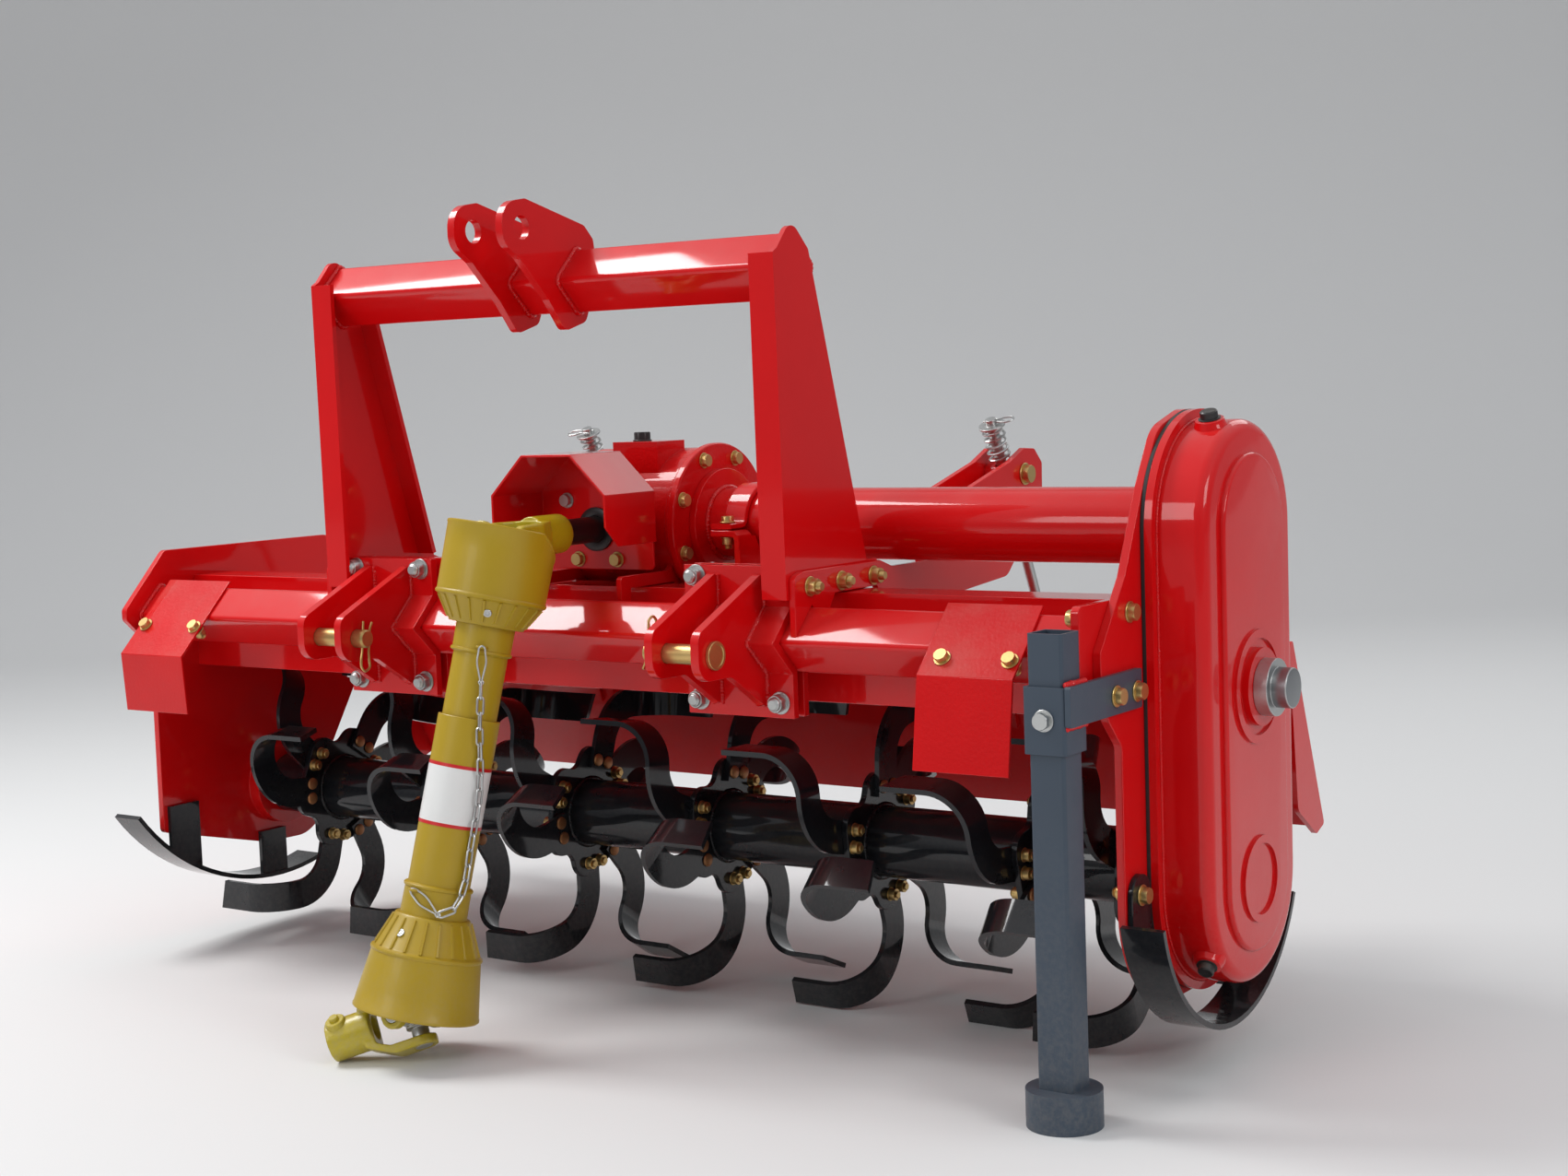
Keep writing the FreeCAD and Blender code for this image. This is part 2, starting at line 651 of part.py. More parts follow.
def side_outline():
    """Outline of the right side plate."""
    y = float(S.drive_back)
    radius = float(S.drive_radius)
    top = float(S.drive_high) + radius
    low = float(rotor_z) - radius
    return [
        (-30, 2, 8), (44, 94, 30), (102, 209, 60), (150, top - 22, 60), (y - 20, top, 60), (y + radius, top, radius - 1),
        (y + radius, low, radius - 1), (25, low, 150), (25, -127, 20), (-11, -89, 6), (-30, -50, 10),
    ]


def side_plate_right():
    """Right side plate that carries the toolbar, the cross tube and the side drive."""
    y = float(S.drive_back)
    plate = plates("plate", [("X", plate_in, S.end_thick, [side_outline()])], named=False)
    bore = rod("bore", S.stub_radius + S.stub_clear, (plate_in, y, rotor_z), (plate_in + 9, y, rotor_z), named=False)
    return less("side_plate_right", plate, [bore])


def drive_gasket():
    """Dark gasket between the side plate and the side drive's cover."""
    loop = obround(S.drive_radius, rotor_z, S.drive_high, S.drive_back)
    inner = obround(S.drive_radius - 16, rotor_z, S.drive_high, S.drive_back)
    return plates("drive_gasket", [("X", plate_out, S.gasket_thick, [loop, inner])])


def side_drive_cover():
    """Deep pressed cover of the side drive, with its idler boss."""
    flange = obround(S.drive_radius, rotor_z, S.drive_high, S.drive_back)
    case = obround(S.case_radius, rotor_z, S.drive_high, S.drive_back)
    body = plates("side_drive_cover", [
        ("X", case_in, S.flange_thick, [flange]), ("X", case_in + S.flange_thick, S.case_deep, [case]),
    ])
    face = case_in + S.flange_thick + S.case_deep
    round_edges(body, float(face), 17)
    top = face + S.panel_high
    raised(body, face, [obround(S.panel_radius, rotor_z, S.drive_high, S.drive_back)], float(S.panel_high))
    round_edges(body, float(top), 5)
    raised(body, top, [ring(S.drive_back, -S.idler_drop, S.nut_radius + 14)], 10)
    raised(body, top, [ring(S.drive_back, -S.idler_drop, 78), ring(S.drive_back, -S.idler_drop, 66)], 4)
    raised(body, top, [ring(S.drive_back, rotor_z, 60), ring(S.drive_back, rotor_z, 49)], 4)
    return body


def raised(body, level, loops, high):
    """Add a pad on a body's face at x = level."""
    pad = body.newObject("PartDesign::Pad", "pad")
    pad.Profile = draw(body, "X", level, loops)
    pad.Length = high
    doc.recompute()


def round_edges(body, level, radius):
    """Round the edges of a body that lie wholly in the plane x = level."""
    doc.recompute()
    tip = body.Tip
    names = []
    for number, edge in enumerate(tip.Shape.Edges, 1):
        box = edge.BoundBox
        if abs(box.XMin - level) < 0.01 and abs(box.XMax - level) < 0.01:
            names.append(f"Edge{number}")
    fillet = body.newObject("PartDesign::Fillet", "fillet")
    fillet.Base = (tip, names)
    fillet.Radius = radius
    doc.recompute()
    return fillet


def idler_nut():
    """Steel ring nut and cap on the idler boss."""
    start = case_in + S.flange_thick + S.case_deep + S.panel_high + 10
    y = S.drive_back
    z = -S.idler_drop
    nut = rod("nut", S.nut_radius, (start, y, z), (start + 20, y, z), named=False)
    cap = rod("cap", S.cap_radius, (start, y, z), (start + 42, y, z), named=False)
    return joined("idler_nut", [nut, cap])


def arc_band(points, thick):
    """A curved strip through three points, thickened outwards from its middle of curvature."""
    inner = Part.Arc(*[Vector(*p, 0) for p in points])
    middle = inner.toShape().Curve.Center
    outer_points = []
    for point in points:
        spoke = (Vector(*point, 0) - middle).normalize()
        outer_points.append(Vector(*point, 0) + spoke * float(thick))
    outer = Part.Arc(*outer_points)
    first, last = Vector(*points[0], 0), Vector(*points[-1], 0)
    return [inner, Part.LineSegment(last, outer_points[-1]), outer, Part.LineSegment(outer_points[0], first)]


def arc_low(points, y):
    """Height of the lower side of the circle through three points, half a strap's thickness down."""
    curve = Part.Arc(*[Vector(*p, 0) for p in points]).toShape().Curve
    radius = curve.Radius + float(S.skid_thick) / 2
    return curve.Center.y - math.sqrt(radius ** 2 - (y - curve.Center.x) ** 2)


def tab(points, first, last, top_first, top_last):
    """Upright tab from a strap to the plate above it, between two distances back."""
    return [(first, top_first), (last, top_last), (last, arc_low(points, last)), (first, arc_low(points, first))]


def skids():
    """Curved straps under both end plates."""
    z = float(rotor_z)
    left_way = [(-82, z - 8), (100, z - 142), (330, z - 150)]
    right_way = [(14, z - 24), (250, z - 196), (440, z - 60)]
    low = -S.bar_left + S.end_thick - 1 - S.skid_wide
    left = plates("left", [
        ("X", low, S.skid_wide, [arc_band(left_way, S.skid_thick)]),
        ("X", -S.bar_left, zero + 8, [tab(left_way, -15, 50, -340, -340)]),
        ("X", -S.bar_left, zero + 8, [tab(left_way, 190, 250, z - 85, z - 85)]),
    ], named=False)
    right = plates("right", [
        ("X", plate_out, S.skid_wide, [arc_band(right_way, S.skid_thick)]),
        ("X", plate_out, zero + 8, [tab(right_way, 32, 72, z + 60, z + 60)]),
        ("X", plate_in, zero + 20, [tab(right_way, 330, 380, z - 143, z - 98)]),
    ], named=False)
    edge = plates("edge", [("X", plate_in, S.end_thick + S.skid_wide, [side_outline()])], named=False)
    return together("skids", [left, less("right", right, [edge], named=False)])


def stone_guards():
    """Bent sheets on the toolbar before the outer tines."""
    made = []
    rows = [(22 - S.bar_left, 152, -59, -102), (S.bar_right - 220, 145, -31, -98)]
    for left, wide, bend, lower in rows:
        loop = strip([(6, bar_tip + 6), (bend - bar_tip, bend), (lower, -155)], -float(S.guard_thick))
        made.append(plates("guard", [("X", left, zero + wide, [loop])], named=False))
    return together("stone_guards", made)


def stand_sleeve():
    """Square sleeve of the parking stand with its bolted arm."""
    half = S.sleeve_side / 2
    hole = S.leg_side / 2 + S.leg_clear
    x = S.leg_out
    y = -S.leg_fore
    loops = [
        [(x - half, y - half, 5), (x + half, y - half, 5), (x + half, y + half, 5), (x - half, y + half, 5)],
        [(x - hole, y - hole), (x + hole, y - hole), (x + hole, y + hole), (x - hole, y + hole)],
    ]
    arm = [(y - half, -80, 4), (71, -80, 4), (71, -28, 4), (y - half, -28, 4)]
    return plates("stand_sleeve", [
        ("Z", zero - 116, zero + 86, loops), ("X", x + half, zero + 8, [arm]),
    ])


def stand_leg():
    """Square leg on a round foot."""
    half = S.leg_side / 2
    x = S.leg_out
    y = -S.leg_fore
    inner = half - 4
    loops = [
        [(x - half, y - half, 5), (x + half, y - half, 5), (x + half, y + half, 5), (x - half, y + half, 5)],
        [(x - inner, y - inner), (x + inner, y - inner), (x + inner, y + inner), (x - inner, y + inner)],
    ]
    tube = plates("tube", [("Z", floor + S.foot_high, S.bar_high - S.foot_high + S.leg_top, loops)], named=False)
    foot = rod("foot", S.foot_radius, (x, y, floor), (x, y, floor + S.foot_high), named=False)
    return joined("stand_leg", [tube, foot])


def side_arm(side, name):
    """Long plate from the mast's foot to the swivel of the spring rod, doubled at its rear end."""
    y = float(S.swivel_back)
    z = float(S.swivel_high)
    outer = [
        (-42, bar_tip - 42), (-42, 92, 12), (-20, 98, 6), (180, 98, 20), (215, 86, 20), (320, 86, 40), (454, 189, 20), (579, 222),
        (y + 1, z + 42, 6), (y + 35, z + 40, 10), (y + 60, z + 16, 8), (y + 58, z - 50, 30), (560, 40, 30),
        (400, 28, 20), (190, 30, 10), (171, 61, 4), (60, 61), (30, bar_tip - 30), (0, bar_tip),
    ]
    inner = [
        (400, 28, 20), (400, 156, 8), (454, 189, 20), (579, 222), (y + 1, z + 42, 6), (y + 35, z + 40, 10),
        (y + 60, z + 16, 8), (y + 58, z - 50, 30), (560, 40, 30),
    ]
    tie = [(410, 60), (410, 68), (500, 76), (500, 68)]
    face = S.mast_out
    if side > 0:
        starts = (face, face - S.arm_gap - S.arm_thick, face - S.arm_gap)
    else:
        starts = (-face - S.arm_thick, -face + S.arm_gap, -face)
    body = plates("arm", [
        ("X", starts[0], S.arm_thick, [outer]), ("X", starts[2], S.arm_gap, [tie]),
        ("X", starts[1], S.arm_thick, [inner]),
    ], named=False)
    reach = S.arm_gap + S.arm_thick * 2
    low = starts[1] if side > 0 else starts[0]
    hole = rod("hole", zero + 10.2, (low, y, z), (low + reach, y, z), named=False)
    return less(name, body, [hole])


def swivel_middle(side):
    """The x of a spring rod."""
    return (S.mast_out - S.arm_gap / 2) * side


def rod_way():
    """Direction from the rod's eye to its swivel."""
    return Vector(0, float(S.swivel_back - S.lug_back), float(S.swivel_high + S.lug_drop)).normalize()


def swivel(side, name):
    """Barrel that turns between an arm's plates and lets the spring rod slide."""
    x = swivel_middle(side)
    y = S.swivel_back
    z = S.swivel_high
    half = S.arm_gap / 2 - S.pin_clear
    barrel = rod("barrel", S.swivel_radius, (x - half, y, z), (x + half, y, z), named=False)
    reach = S.arm_gap / 2 + S.arm_thick
    pin = rod("pin", zero + 10, (x - reach, y, z), (x + reach, y, z), named=False)
    way = rod_way()
    middle = Vector(float(x), float(y), float(z))
    bore = rod("bore", S.rod_radius + S.rod_clear, middle - way * 40, middle + way * 40, named=False)
    return less(name, joined("turned", [barrel, pin], named=False), [bore])


def spring_rod(side, name):
    """Rod with an eye on the board's lug, a collar under the lower spring and a top washer."""
    x = swivel_middle(side)
    eye = Vector(float(x), float(S.lug_back), -float(S.lug_drop))
    top = Vector(float(x), float(S.swivel_back), float(S.swivel_high)) + rod_way() * float(S.rod_above)
    way = rod_way()
    shank = rod("shank", S.rod_radius, eye + way * 13, top, named=False)
    ring_part = rod("eye", zero + 20, eye - Vector(11, 0, 0), eye + Vector(11, 0, 0), named=False)
    low = top - way * (float(S.rod_above) + 150)
    collar = rod("collar", S.swivel_radius + 3, low, low + way * 4, named=False)
    high = top - way * 14
    washer = rod("washer", S.swivel_radius + 3, high, high + way * 4, named=False)
    whole = joined("whole", [shank, ring_part, collar, washer], named=False)
    hole = rod("hole", zero + 8.3, eye - Vector(11, 0, 0), eye + Vector(11, 0, 0), named=False)
    return less(name, whole, [hole])


def spring_coil(radius, wire, length, turns):
    """A coil along +Z with flat sides."""
    sides = 12
    points = []
    for step in range(sides * turns + 1):
        turn = 2 * math.pi * step / sides
        points.append(Vector(radius * math.cos(turn), radius * math.sin(turn), length * step / (sides * turns)))
    corners = []
    for step in range(7):
        turn = 2 * math.pi * step / 6
        corners.append(Vector(radius + wire / 2 * math.cos(turn), 0, wire / 2 * math.sin(turn)))
    return Part.makePolygon(points).makePipeShell([Part.makePolygon(corners)], True, False, 1)


def springs(side, name):
    """Coil springs above and below the swivel."""
    x = float(swivel_middle(side))
    way = rod_way()
    wire = float(S.spring_wire)
    middle = Vector(x, float(S.swivel_back), float(S.swivel_high))
    barrel = float(S.swivel_radius)
    spans = [(barrel + wire, float(S.rod_above) - 14 - wire), (-150 + 4 + wire, -barrel - wire)]
    coils = []
    for low, high in spans:
        coil = spring_coil(float(S.spring_radius), wire, high - low, 5)
        coil.Placement = Placement(middle + way * low, facing(way))
        coils.append(coil)
    feature = doc.addObject("Part::Feature", name)
    feature.Shape = Part.makeCompound(coils)
    return keep(feature, name)


def rear_board():
    """Levelling board with its hinge eyes, side flanges and rod lugs."""
    y = float(S.hinge_back)
    z = -float(S.hinge_drop)
    r = float(S.hinge_radius)
    sheet_loop = strip([(y + 5, z - 14), (y + 40, -130), (y + 98, -300), (y + 128, -350)], float(S.sheet_thick))
    layers = [("X", -S.board_half, S.board_half * 2, [sheet_loop])]
    eye = ring(y, z, r + 8)
    for low, high in ((-866, -14), (14, 866)):
        layers.append(("X", zero + low, zero + high - low, [eye]))
    flange = [(y + 13, -41, 6), (y + 129, -344, 6), (y + 98, -355, 6), (y + 27, -307, 20), (y + 2, -60, 4)]
    for low in (-S.board_half - 8, S.board_half):
        layers.append(("X", low, zero + 8, [flange]))
    ey = float(S.lug_back)
    ez = -float(S.lug_drop)
    lug = [(y + 24, -95), (y + 60, -215), (ey + 6, ez - 22, 16), (ey + 22, ez + 8, 16), (ey - 8, ez + 22, 16)]
    for side in (-1, 1):
        x = swivel_middle(side)
        layers.append(("X", x - 20, zero + 8, [lug]))
        layers.append(("X", x + 12, zero + 8, [lug]))
    body = plates("board", layers, named=False)
    hole = rod("hole", S.hinge_radius + S.pin_clear, (-S.bar_left, y, z), (plate_in, y, z), named=False)
    cleared = less("cleared", body, [hole], named=False)
    pins = [rod("pin", zero + 8, (swivel_middle(s) - 20, ey, ez), (swivel_middle(s) + 20, ey, ez), named=False)
            for s in (-1, 1)]
    return joined("rear_board", [cleared] + pins)


def tine_frame():
    """Where a tine's curve starts, its lowest corner, and the ways along and across its foot.

    All as (forward in the sense of turning, outwards); the corner lies on the tine circle."""
    curve = float(S.tine_curve)
    reach = float(S.tine_bend) + float(S.tine_thick) / 2
    half = float(S.tine_wide) / 2
    along = (-math.sin(tine_sweep), math.cos(tine_sweep))
    across = (math.cos(tine_sweep), math.sin(tine_sweep))
    fore = -curve * (1 - math.cos(tine_sweep)) + reach * along[0] + half * across[0]
    rise = curve * math.sin(tine_sweep) + reach * along[1] + half * across[1]
    out = math.sqrt(float(S.tine_reach) ** 2 - fore ** 2)
    return out - rise, (fore, out), along, across


def disc_places():
    """The x of each rotor flange and the turn of its lobes; at rest the outer tines stand on their corners."""
    fore, out = tine_frame()[1]
    first = math.degrees(math.atan2(-fore, out)) + 180 - float(S.tine_turn)
    start = rotor_left + S.disc_left
    pitch = (rotor_right - S.disc_last - start) / 5
    rows = [(start + pitch * i, first + float(S.disc_twist) * i) for i in range(6)]
    rows.append((rotor_right - S.disc_end, first + float(S.tine_turn)))
    return rows


def disc_loop(turn):
    """Three-lobed outline of a rotor flange, its lobes at a turn about the rotor's axis."""
    corners = []
    for lobe in range(3):
        for offset, radius, soft in ((-38, S.disc_radius, 30), (38, S.disc_radius, 30), (60, S.disc_waist, 20)):
            angle = math.radians(turn + lobe * 120 + offset)
            y = float(S.drive_back) - float(radius) * math.sin(angle)
            z = float(rotor_z) + float(radius) * math.cos(angle)
            corners.append((y, z, soft))
    return corners


def rotor_shaft():
    """Rotor tube with its stub shafts and lobed tine flanges."""
    y = S.drive_back
    z = rotor_z
    tube = rod("tube", S.tube_radius, (rotor_left, y, z), (rotor_right, y, z),
               bore=S.tube_radius - S.tube_wall, named=False)
    left = rod("left", S.stub_radius, (-S.bar_left + 2, y, z), (rotor_left + 60, y, z), named=False)
    right = rod("right", S.stub_radius, (rotor_right - 60, y, z), (plate_in + 8, y, z), named=False)
    pieces = [tube, left, right]
    for x in (rotor_left, rotor_right - 12):
        pieces.append(rod("plug", S.tube_radius, (x, y, z), (x + 12, y, z), named=False))
    for x, turn in disc_places():
        disc = plates("disc", [("X", x - S.disc_thick / 2, S.disc_thick, [disc_loop(turn)])], named=False)
        room = rod("room", S.tube_radius - S.tube_wall, (x - 20, y, z), (x + 20, y, z), named=False)
        pieces.append(less("disc", disc, [room], named=False))
    return joined("rotor_shaft", pieces)


def tine(side):
    """One tine at the rotor's axis: a shank along +Z, curved back, then bent to one side into its foot."""
    start, corner, along, across = tine_frame()
    curve = float(S.tine_curve)
    half = float(S.tine_wide) / 2
    thick = float(S.tine_thick)
    face = float(S.disc_thick) / 2
    low = face if side > 0 else -face - thick
    root = float(S.tube_radius) + 16

    def swept(radius, turn):
        return Vector(low, curve - radius * math.cos(turn), start + radius * math.sin(turn))

    outer, inner = curve + half, curve - half
    middle = tine_sweep / 2
    shank = Part.Face(Part.Wire([edge.toShape() for edge in (
        Part.LineSegment(Vector(low, half, root), Vector(low, -half, root)),
        Part.LineSegment(Vector(low, -half, root), swept(outer, 0)),
        Part.Arc(swept(outer, 0), swept(outer, middle), swept(outer, tine_sweep)),
        Part.LineSegment(swept(outer, tine_sweep), swept(inner, tine_sweep)),
        Part.Arc(swept(inner, tine_sweep), swept(inner, middle), swept(inner, 0)),
        Part.LineSegment(swept(inner, 0), Vector(low, half, root)),
    )])).extrude(Vector(thick, 0, 0))
    length_way = Vector(0, -along[0], along[1])
    width_way = Vector(0, -across[0], across[1])
    sideways = Vector(side, 0, 0)
    hinge = swept(curve, tine_sweep) + Vector(thick / 2, 0, 0) + sideways * float(S.tine_bend)
    section = Part.Face(Part.makePolygon([
        swept(outer, tine_sweep), swept(inner, tine_sweep), swept(inner, tine_sweep) + Vector(thick, 0, 0),
        swept(outer, tine_sweep) + Vector(thick, 0, 0), swept(outer, tine_sweep),
    ]))
    bend = section.revolve(hinge, width_way, -90 * side)
    base = hinge + length_way * (float(S.tine_bend) - thick / 2)
    run = float(S.tine_side) - float(S.tine_bend)
    foot = Part.Face(Part.makePolygon([
        base - width_way * half, base + width_way * half, base + width_way * half + sideways * run,
        base - width_way * half + sideways * (run - 12), base - width_way * half,
    ])).extrude(length_way * thick)
    return shank.multiFuse([bend, foot]).removeSplitter()


def tines(side, name):
    """All tines whose feet turn to one side, bolted to that face of the flanges."""
    shape = tine(side)
    rows = disc_places() if side < 0 else disc_places()[:-1]
    copies = []
    for x, turn in rows:
        for step in (0, 120, 240):
            copy = shape.copy()
            copy.rotate(Vector(0, 0, 0), Vector(1, 0, 0), turn + step + float(S.tine_turn) * side)
            copy.translate(Vector(float(x), float(S.drive_back), float(rotor_z)))
            copies.append(copy)
    feature = doc.addObject("Part::Feature", name)
    feature.Shape = Part.makeCompound(copies)
    return keep(feature, name)


def fork_solid(hub_radius, hub_end, bore, label):
    """A yoke about its joint: ears across X, hub along +Z."""
    out = float(S.ear_out)
    inside = float(S.ear_in)
    half = float(S.ear_half)
    deep = float(S.throat_deep)
    hub = float(hub_radius)
    front = [
        (-out, -half), (-out, 38, 18), (-hub, deep + 16), (hub, deep + 16), (out, 38, 18), (out, -half),
        (inside, -half), (inside, deep - 20, 6), (27, deep, 6), (-27, deep, 6), (-inside, deep - 20, 6),
        (-inside, -half),
    ]
    side_view = [
        Part.Arc(Vector(-half, 0, 0), Vector(0, -half, 0), Vector(half, 0, 0)),
        Part.LineSegment(Vector(half, 0, 0), Vector(half + 1, deep + 16, 0)),
        Part.LineSegment(Vector(half + 1, deep + 16, 0), Vector(-half - 1, deep + 16, 0)),
        Part.LineSegment(Vector(-half - 1, deep + 16, 0), Vector(-half, 0, 0)),
    ]
    front_body = plates("front", [("Y", zero - 40, zero + 80, [front])], named=False)
    side_body = plates("side", [("X", zero - 70, zero + 140, [side_view])], named=False)
    arms = shared("arms", front_body, side_body, named=False)
    barrel = rod("barrel", hub_radius, (0, 0, S.throat_deep + 2), (0, 0, hub_end), named=False)
    cast = joined("cast", [arms, barrel], named=False)
    tools = [rod("ear_holes", S.trunnion, (-S.ear_out, 0, 0), (S.ear_out, 0, 0), named=False)]
    if bore:
        tools.append(rod("bore", bore, (0, 0, S.throat_deep), (0, 0, hub_end), named=False))
    return less(label, cast, tools, named=False)


def placed(thing, base, towards, side, label):
    """Set a shape made at the origin to a joint: +Z towards one way, +X towards the other."""
    thing.Placement = Placement(base, facing(towards, side))
    return keep(thing, label)


def shaft_frame():
    """Joint centres and directions of the drive shaft as it hangs."""
    upper = Vector(0, -float(S.joint_fore), float(S.drive_high))
    hub_way = Vector(-0.78, -0.55, -0.30).normalize()
    hub_low = float(S.hub_end) * abs(hub_way.z) + float(S.yoke_hub) * math.hypot(hub_way.x, hub_way.y)
    drop = float(S.bar_high + S.drive_high) - hub_low
    lower = upper + Vector(-float(S.shaft_side), -float(S.shaft_fore), -drop)
    way = (lower - upper).normalize()
    inner_pin = Vector(1, 0, 0).cross(way).normalize()
    end_pin = hub_way.cross(inner_pin).normalize()
    return upper, lower, way, inner_pin, hub_way, end_pin


def cross(label, at, first, second):
    """Four-armed cross of a shaft joint."""
    pieces = []
    for way in (first, second):
        arm = rod("arm", S.trunnion - S.stub_clear, at - way * float(S.ear_out), at + way * float(S.ear_out),
                  named=False)
        pieces.append(arm)
    pieces.append(rod("heart", S.trunnion + 6, at - first * 22, at + first * 22, named=False))
    pieces.append(rod("heart", S.trunnion + 6, at - second * 22, at + second * 22, named=False))
    return joined(label, pieces)


def guard(label, tube_radius, tube_end, mouth, steps, cut):
    """Plastic cone, neck and tube round one half of the shaft; steps run from the mouth along the shaft."""
    start, waist, taper, neck = [float(step) for step in steps]
    wide = float(S.cone_radius)
    wall = float(S.cone_wall)
    tube_out = float(tube_radius)
    mouth = float(mouth)
    outline = [
        (mouth, start), (wide, waist - 3), (wide - 4, waist + 3), (54, taper), (tube_out + 3, taper + 2),
        (tube_out + 3, neck - 1), (tube_out, neck + 1), (tube_out, float(tube_end)),
        (tube_out - wall, float(tube_end)), (tube_out - wall, taper + 4), (52, taper - 4),
        (wide - 4 - wall, waist + 3 - wall), (wide - wall, waist - 5), (mouth - wall, start),
    ]
    shell = turned("shell", outline, named=False)
    if cut:
        low = start - 1
        back = [(0, low), (100, low), (100, start + 100 * float(S.mouth_slope)), (0, start)]
        wedge = plates("wedge", [("Y", zero - 100, zero + 200, [back])], named=False)
        shell = less("shell", shell, [wedge], named=False)
    return shell


def drive_shaft():
    """Telescoping shaft with its yokes, crosses and plastic guards."""
    upper, lower, way, inner_pin, hub_way, end_pin = shaft_frame()
    across = Vector(1, 0, 0)
    fork = fork_solid(S.yoke_hub, S.hub_end, S.yoke_bore, "fork_gearbox")
    placed(fork, upper, Vector(0, 1, 0), across, "yoke_gearbox")
    cross("cross_upper", upper, across, inner_pin)
    fork = fork_solid(S.outer_bar, zero + ((lower - upper).Length - 100), 0, "fork_upper")
    placed(fork, upper, way, inner_pin, "yoke_upper")
    shell = guard("upper", S.small_guard, 560, S.mouth_upper, (-18, 88, 127, 169), True)
    placed(shell, upper, way, inner_pin, "guard_upper")
    fork = fork_solid(S.outer_bar + 4, zero + 100, 0, "fork_lower")
    placed(fork, lower, -way, inner_pin, "yoke_lower")
    shell = guard("lower", S.large_guard, 436, S.mouth_lower, (0, 90, 143, 189), False)
    placed(shell, lower, -way, inner_pin, "guard_lower")
    cross("cross_lower", lower, inner_pin, end_pin)
    fork = fork_solid(S.yoke_hub, S.hub_end, S.yoke_bore, "fork_end")
    placed(fork, lower, hub_way, end_pin, "yoke_end")


toolbar()
mast(-1, "mast_left")
mast(1, "mast_right")
top_crossbar()
top_link_plates()
clevis(-1, "clevis_left")
clevis(1, "clevis_right")
clevis_clamps()
hitch_pins()
gearbox_housing()
gearbox_cover()
gearbox_cradle()
input_shaft()
input_guard()
cross_tube()
deck()
hinge_rod()
end_plate_left()
side_plate_right()
drive_gasket()
side_drive_cover()
idler_nut()
skids()
stone_guards()
stand_sleeve()
stand_leg()
for side, word in ((-1, "left"), (1, "right")):
    side_arm(side, f"side_arm_{word}")
    swivel(side, f"swivel_{word}")
    spring_rod(side, f"spring_rod_{word}")
    springs(side, f"springs_{word}")
rear_board()
rotor_shaft()
tines(-1, "tines_left")
tines(1, "tines_right")
drive_shaft()

doc.recompute()
low = [min(getattr(node.Shape.BoundBox, edge) for node in nodes) for edge in ("XMin", "YMin", "ZMin")]
high = [max(getattr(node.Shape.BoundBox, edge) for node in nodes) for edge in ("XMax", "YMax", "ZMax")]
middle = Vector((low[0] + high[0]) / 2, (low[1] + high[1]) / 2, low[2])
print("middle of the floor area before the move", [round(v, 3) for v in middle])
shift = Placement(-middle, Rotation())
for node in nodes:
    node.Placement = shift.multiply(node.Placement)
doc.recompute()

for thing in doc.Objects:
    if "Invalid" in thing.State or "Error" in thing.State:
        raise RuntimeError(f"{thing.Label} did not recompute")
for node in nodes:
    if node.Shape.isNull() or not node.Shape.isValid():
        raise RuntimeError(f"{node.Label} has no valid shape")
    node.Shape.exportStep(f"parts/{node.Label}.step")
print(len(nodes), "sub-parts written")
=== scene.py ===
import json
import math

import bmesh
import bpy
import numpy as np
from mathutils import Matrix, Vector


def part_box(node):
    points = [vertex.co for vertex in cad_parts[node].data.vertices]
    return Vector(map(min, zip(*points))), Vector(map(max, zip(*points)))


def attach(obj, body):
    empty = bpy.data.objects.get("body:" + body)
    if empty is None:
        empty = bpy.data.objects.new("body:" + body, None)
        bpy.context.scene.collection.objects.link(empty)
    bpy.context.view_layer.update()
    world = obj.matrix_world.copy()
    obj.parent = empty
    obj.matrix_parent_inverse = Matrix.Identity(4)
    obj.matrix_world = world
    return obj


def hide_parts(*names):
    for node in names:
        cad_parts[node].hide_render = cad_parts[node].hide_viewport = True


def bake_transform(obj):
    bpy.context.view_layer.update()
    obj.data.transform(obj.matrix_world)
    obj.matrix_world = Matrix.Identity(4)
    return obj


bl_info = {
    "name": "Rotary tiller",
    "version": (1, 0, 0),
    "blender": (4, 5, 0),
    "location": "3D View > Sidebar > Tiller",
    "description": "Finishes a three-point mounted rotary tiller around its packed frame",
    "category": "Object",
}

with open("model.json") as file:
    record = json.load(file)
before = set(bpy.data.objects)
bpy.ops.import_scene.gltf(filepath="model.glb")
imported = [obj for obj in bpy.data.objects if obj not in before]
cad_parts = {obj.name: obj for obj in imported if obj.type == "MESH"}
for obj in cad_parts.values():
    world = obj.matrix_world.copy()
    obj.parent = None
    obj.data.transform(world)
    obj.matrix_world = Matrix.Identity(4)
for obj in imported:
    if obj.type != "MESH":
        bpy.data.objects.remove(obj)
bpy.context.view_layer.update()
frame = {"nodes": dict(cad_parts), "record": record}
BAR_LOW, BAR_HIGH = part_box("toolbar")
# The toolbar's axis, the middle of the hitch: every place below is in millimetres from here.
ORIGIN = np.array([BAR_LOW.x + 0.912, (BAR_LOW.y + BAR_HIGH.y) / 2, (BAR_LOW.z + BAR_HIGH.z) / 2])
TURN = 2 * math.pi
# Back and height of the axis that the gearbox, cross tube and side drive share, of the rotor's axis and of the
# mast's bar.
GEAR_AXIS = (250, 146)
ROTOR_AXIS = (250, -337)
MAST_BAR = (5.5, 522)
# How far each clevis, each mast leg's bolt seats and each spring rod stand from the middle.
CLEVIS_OUT = 341.5
LEG_OUT = 440
ROD_OUT = 420.5
# Radius of the cross tube's and the rotor tube's weld seams.
TUBE_SEAM = 55.5
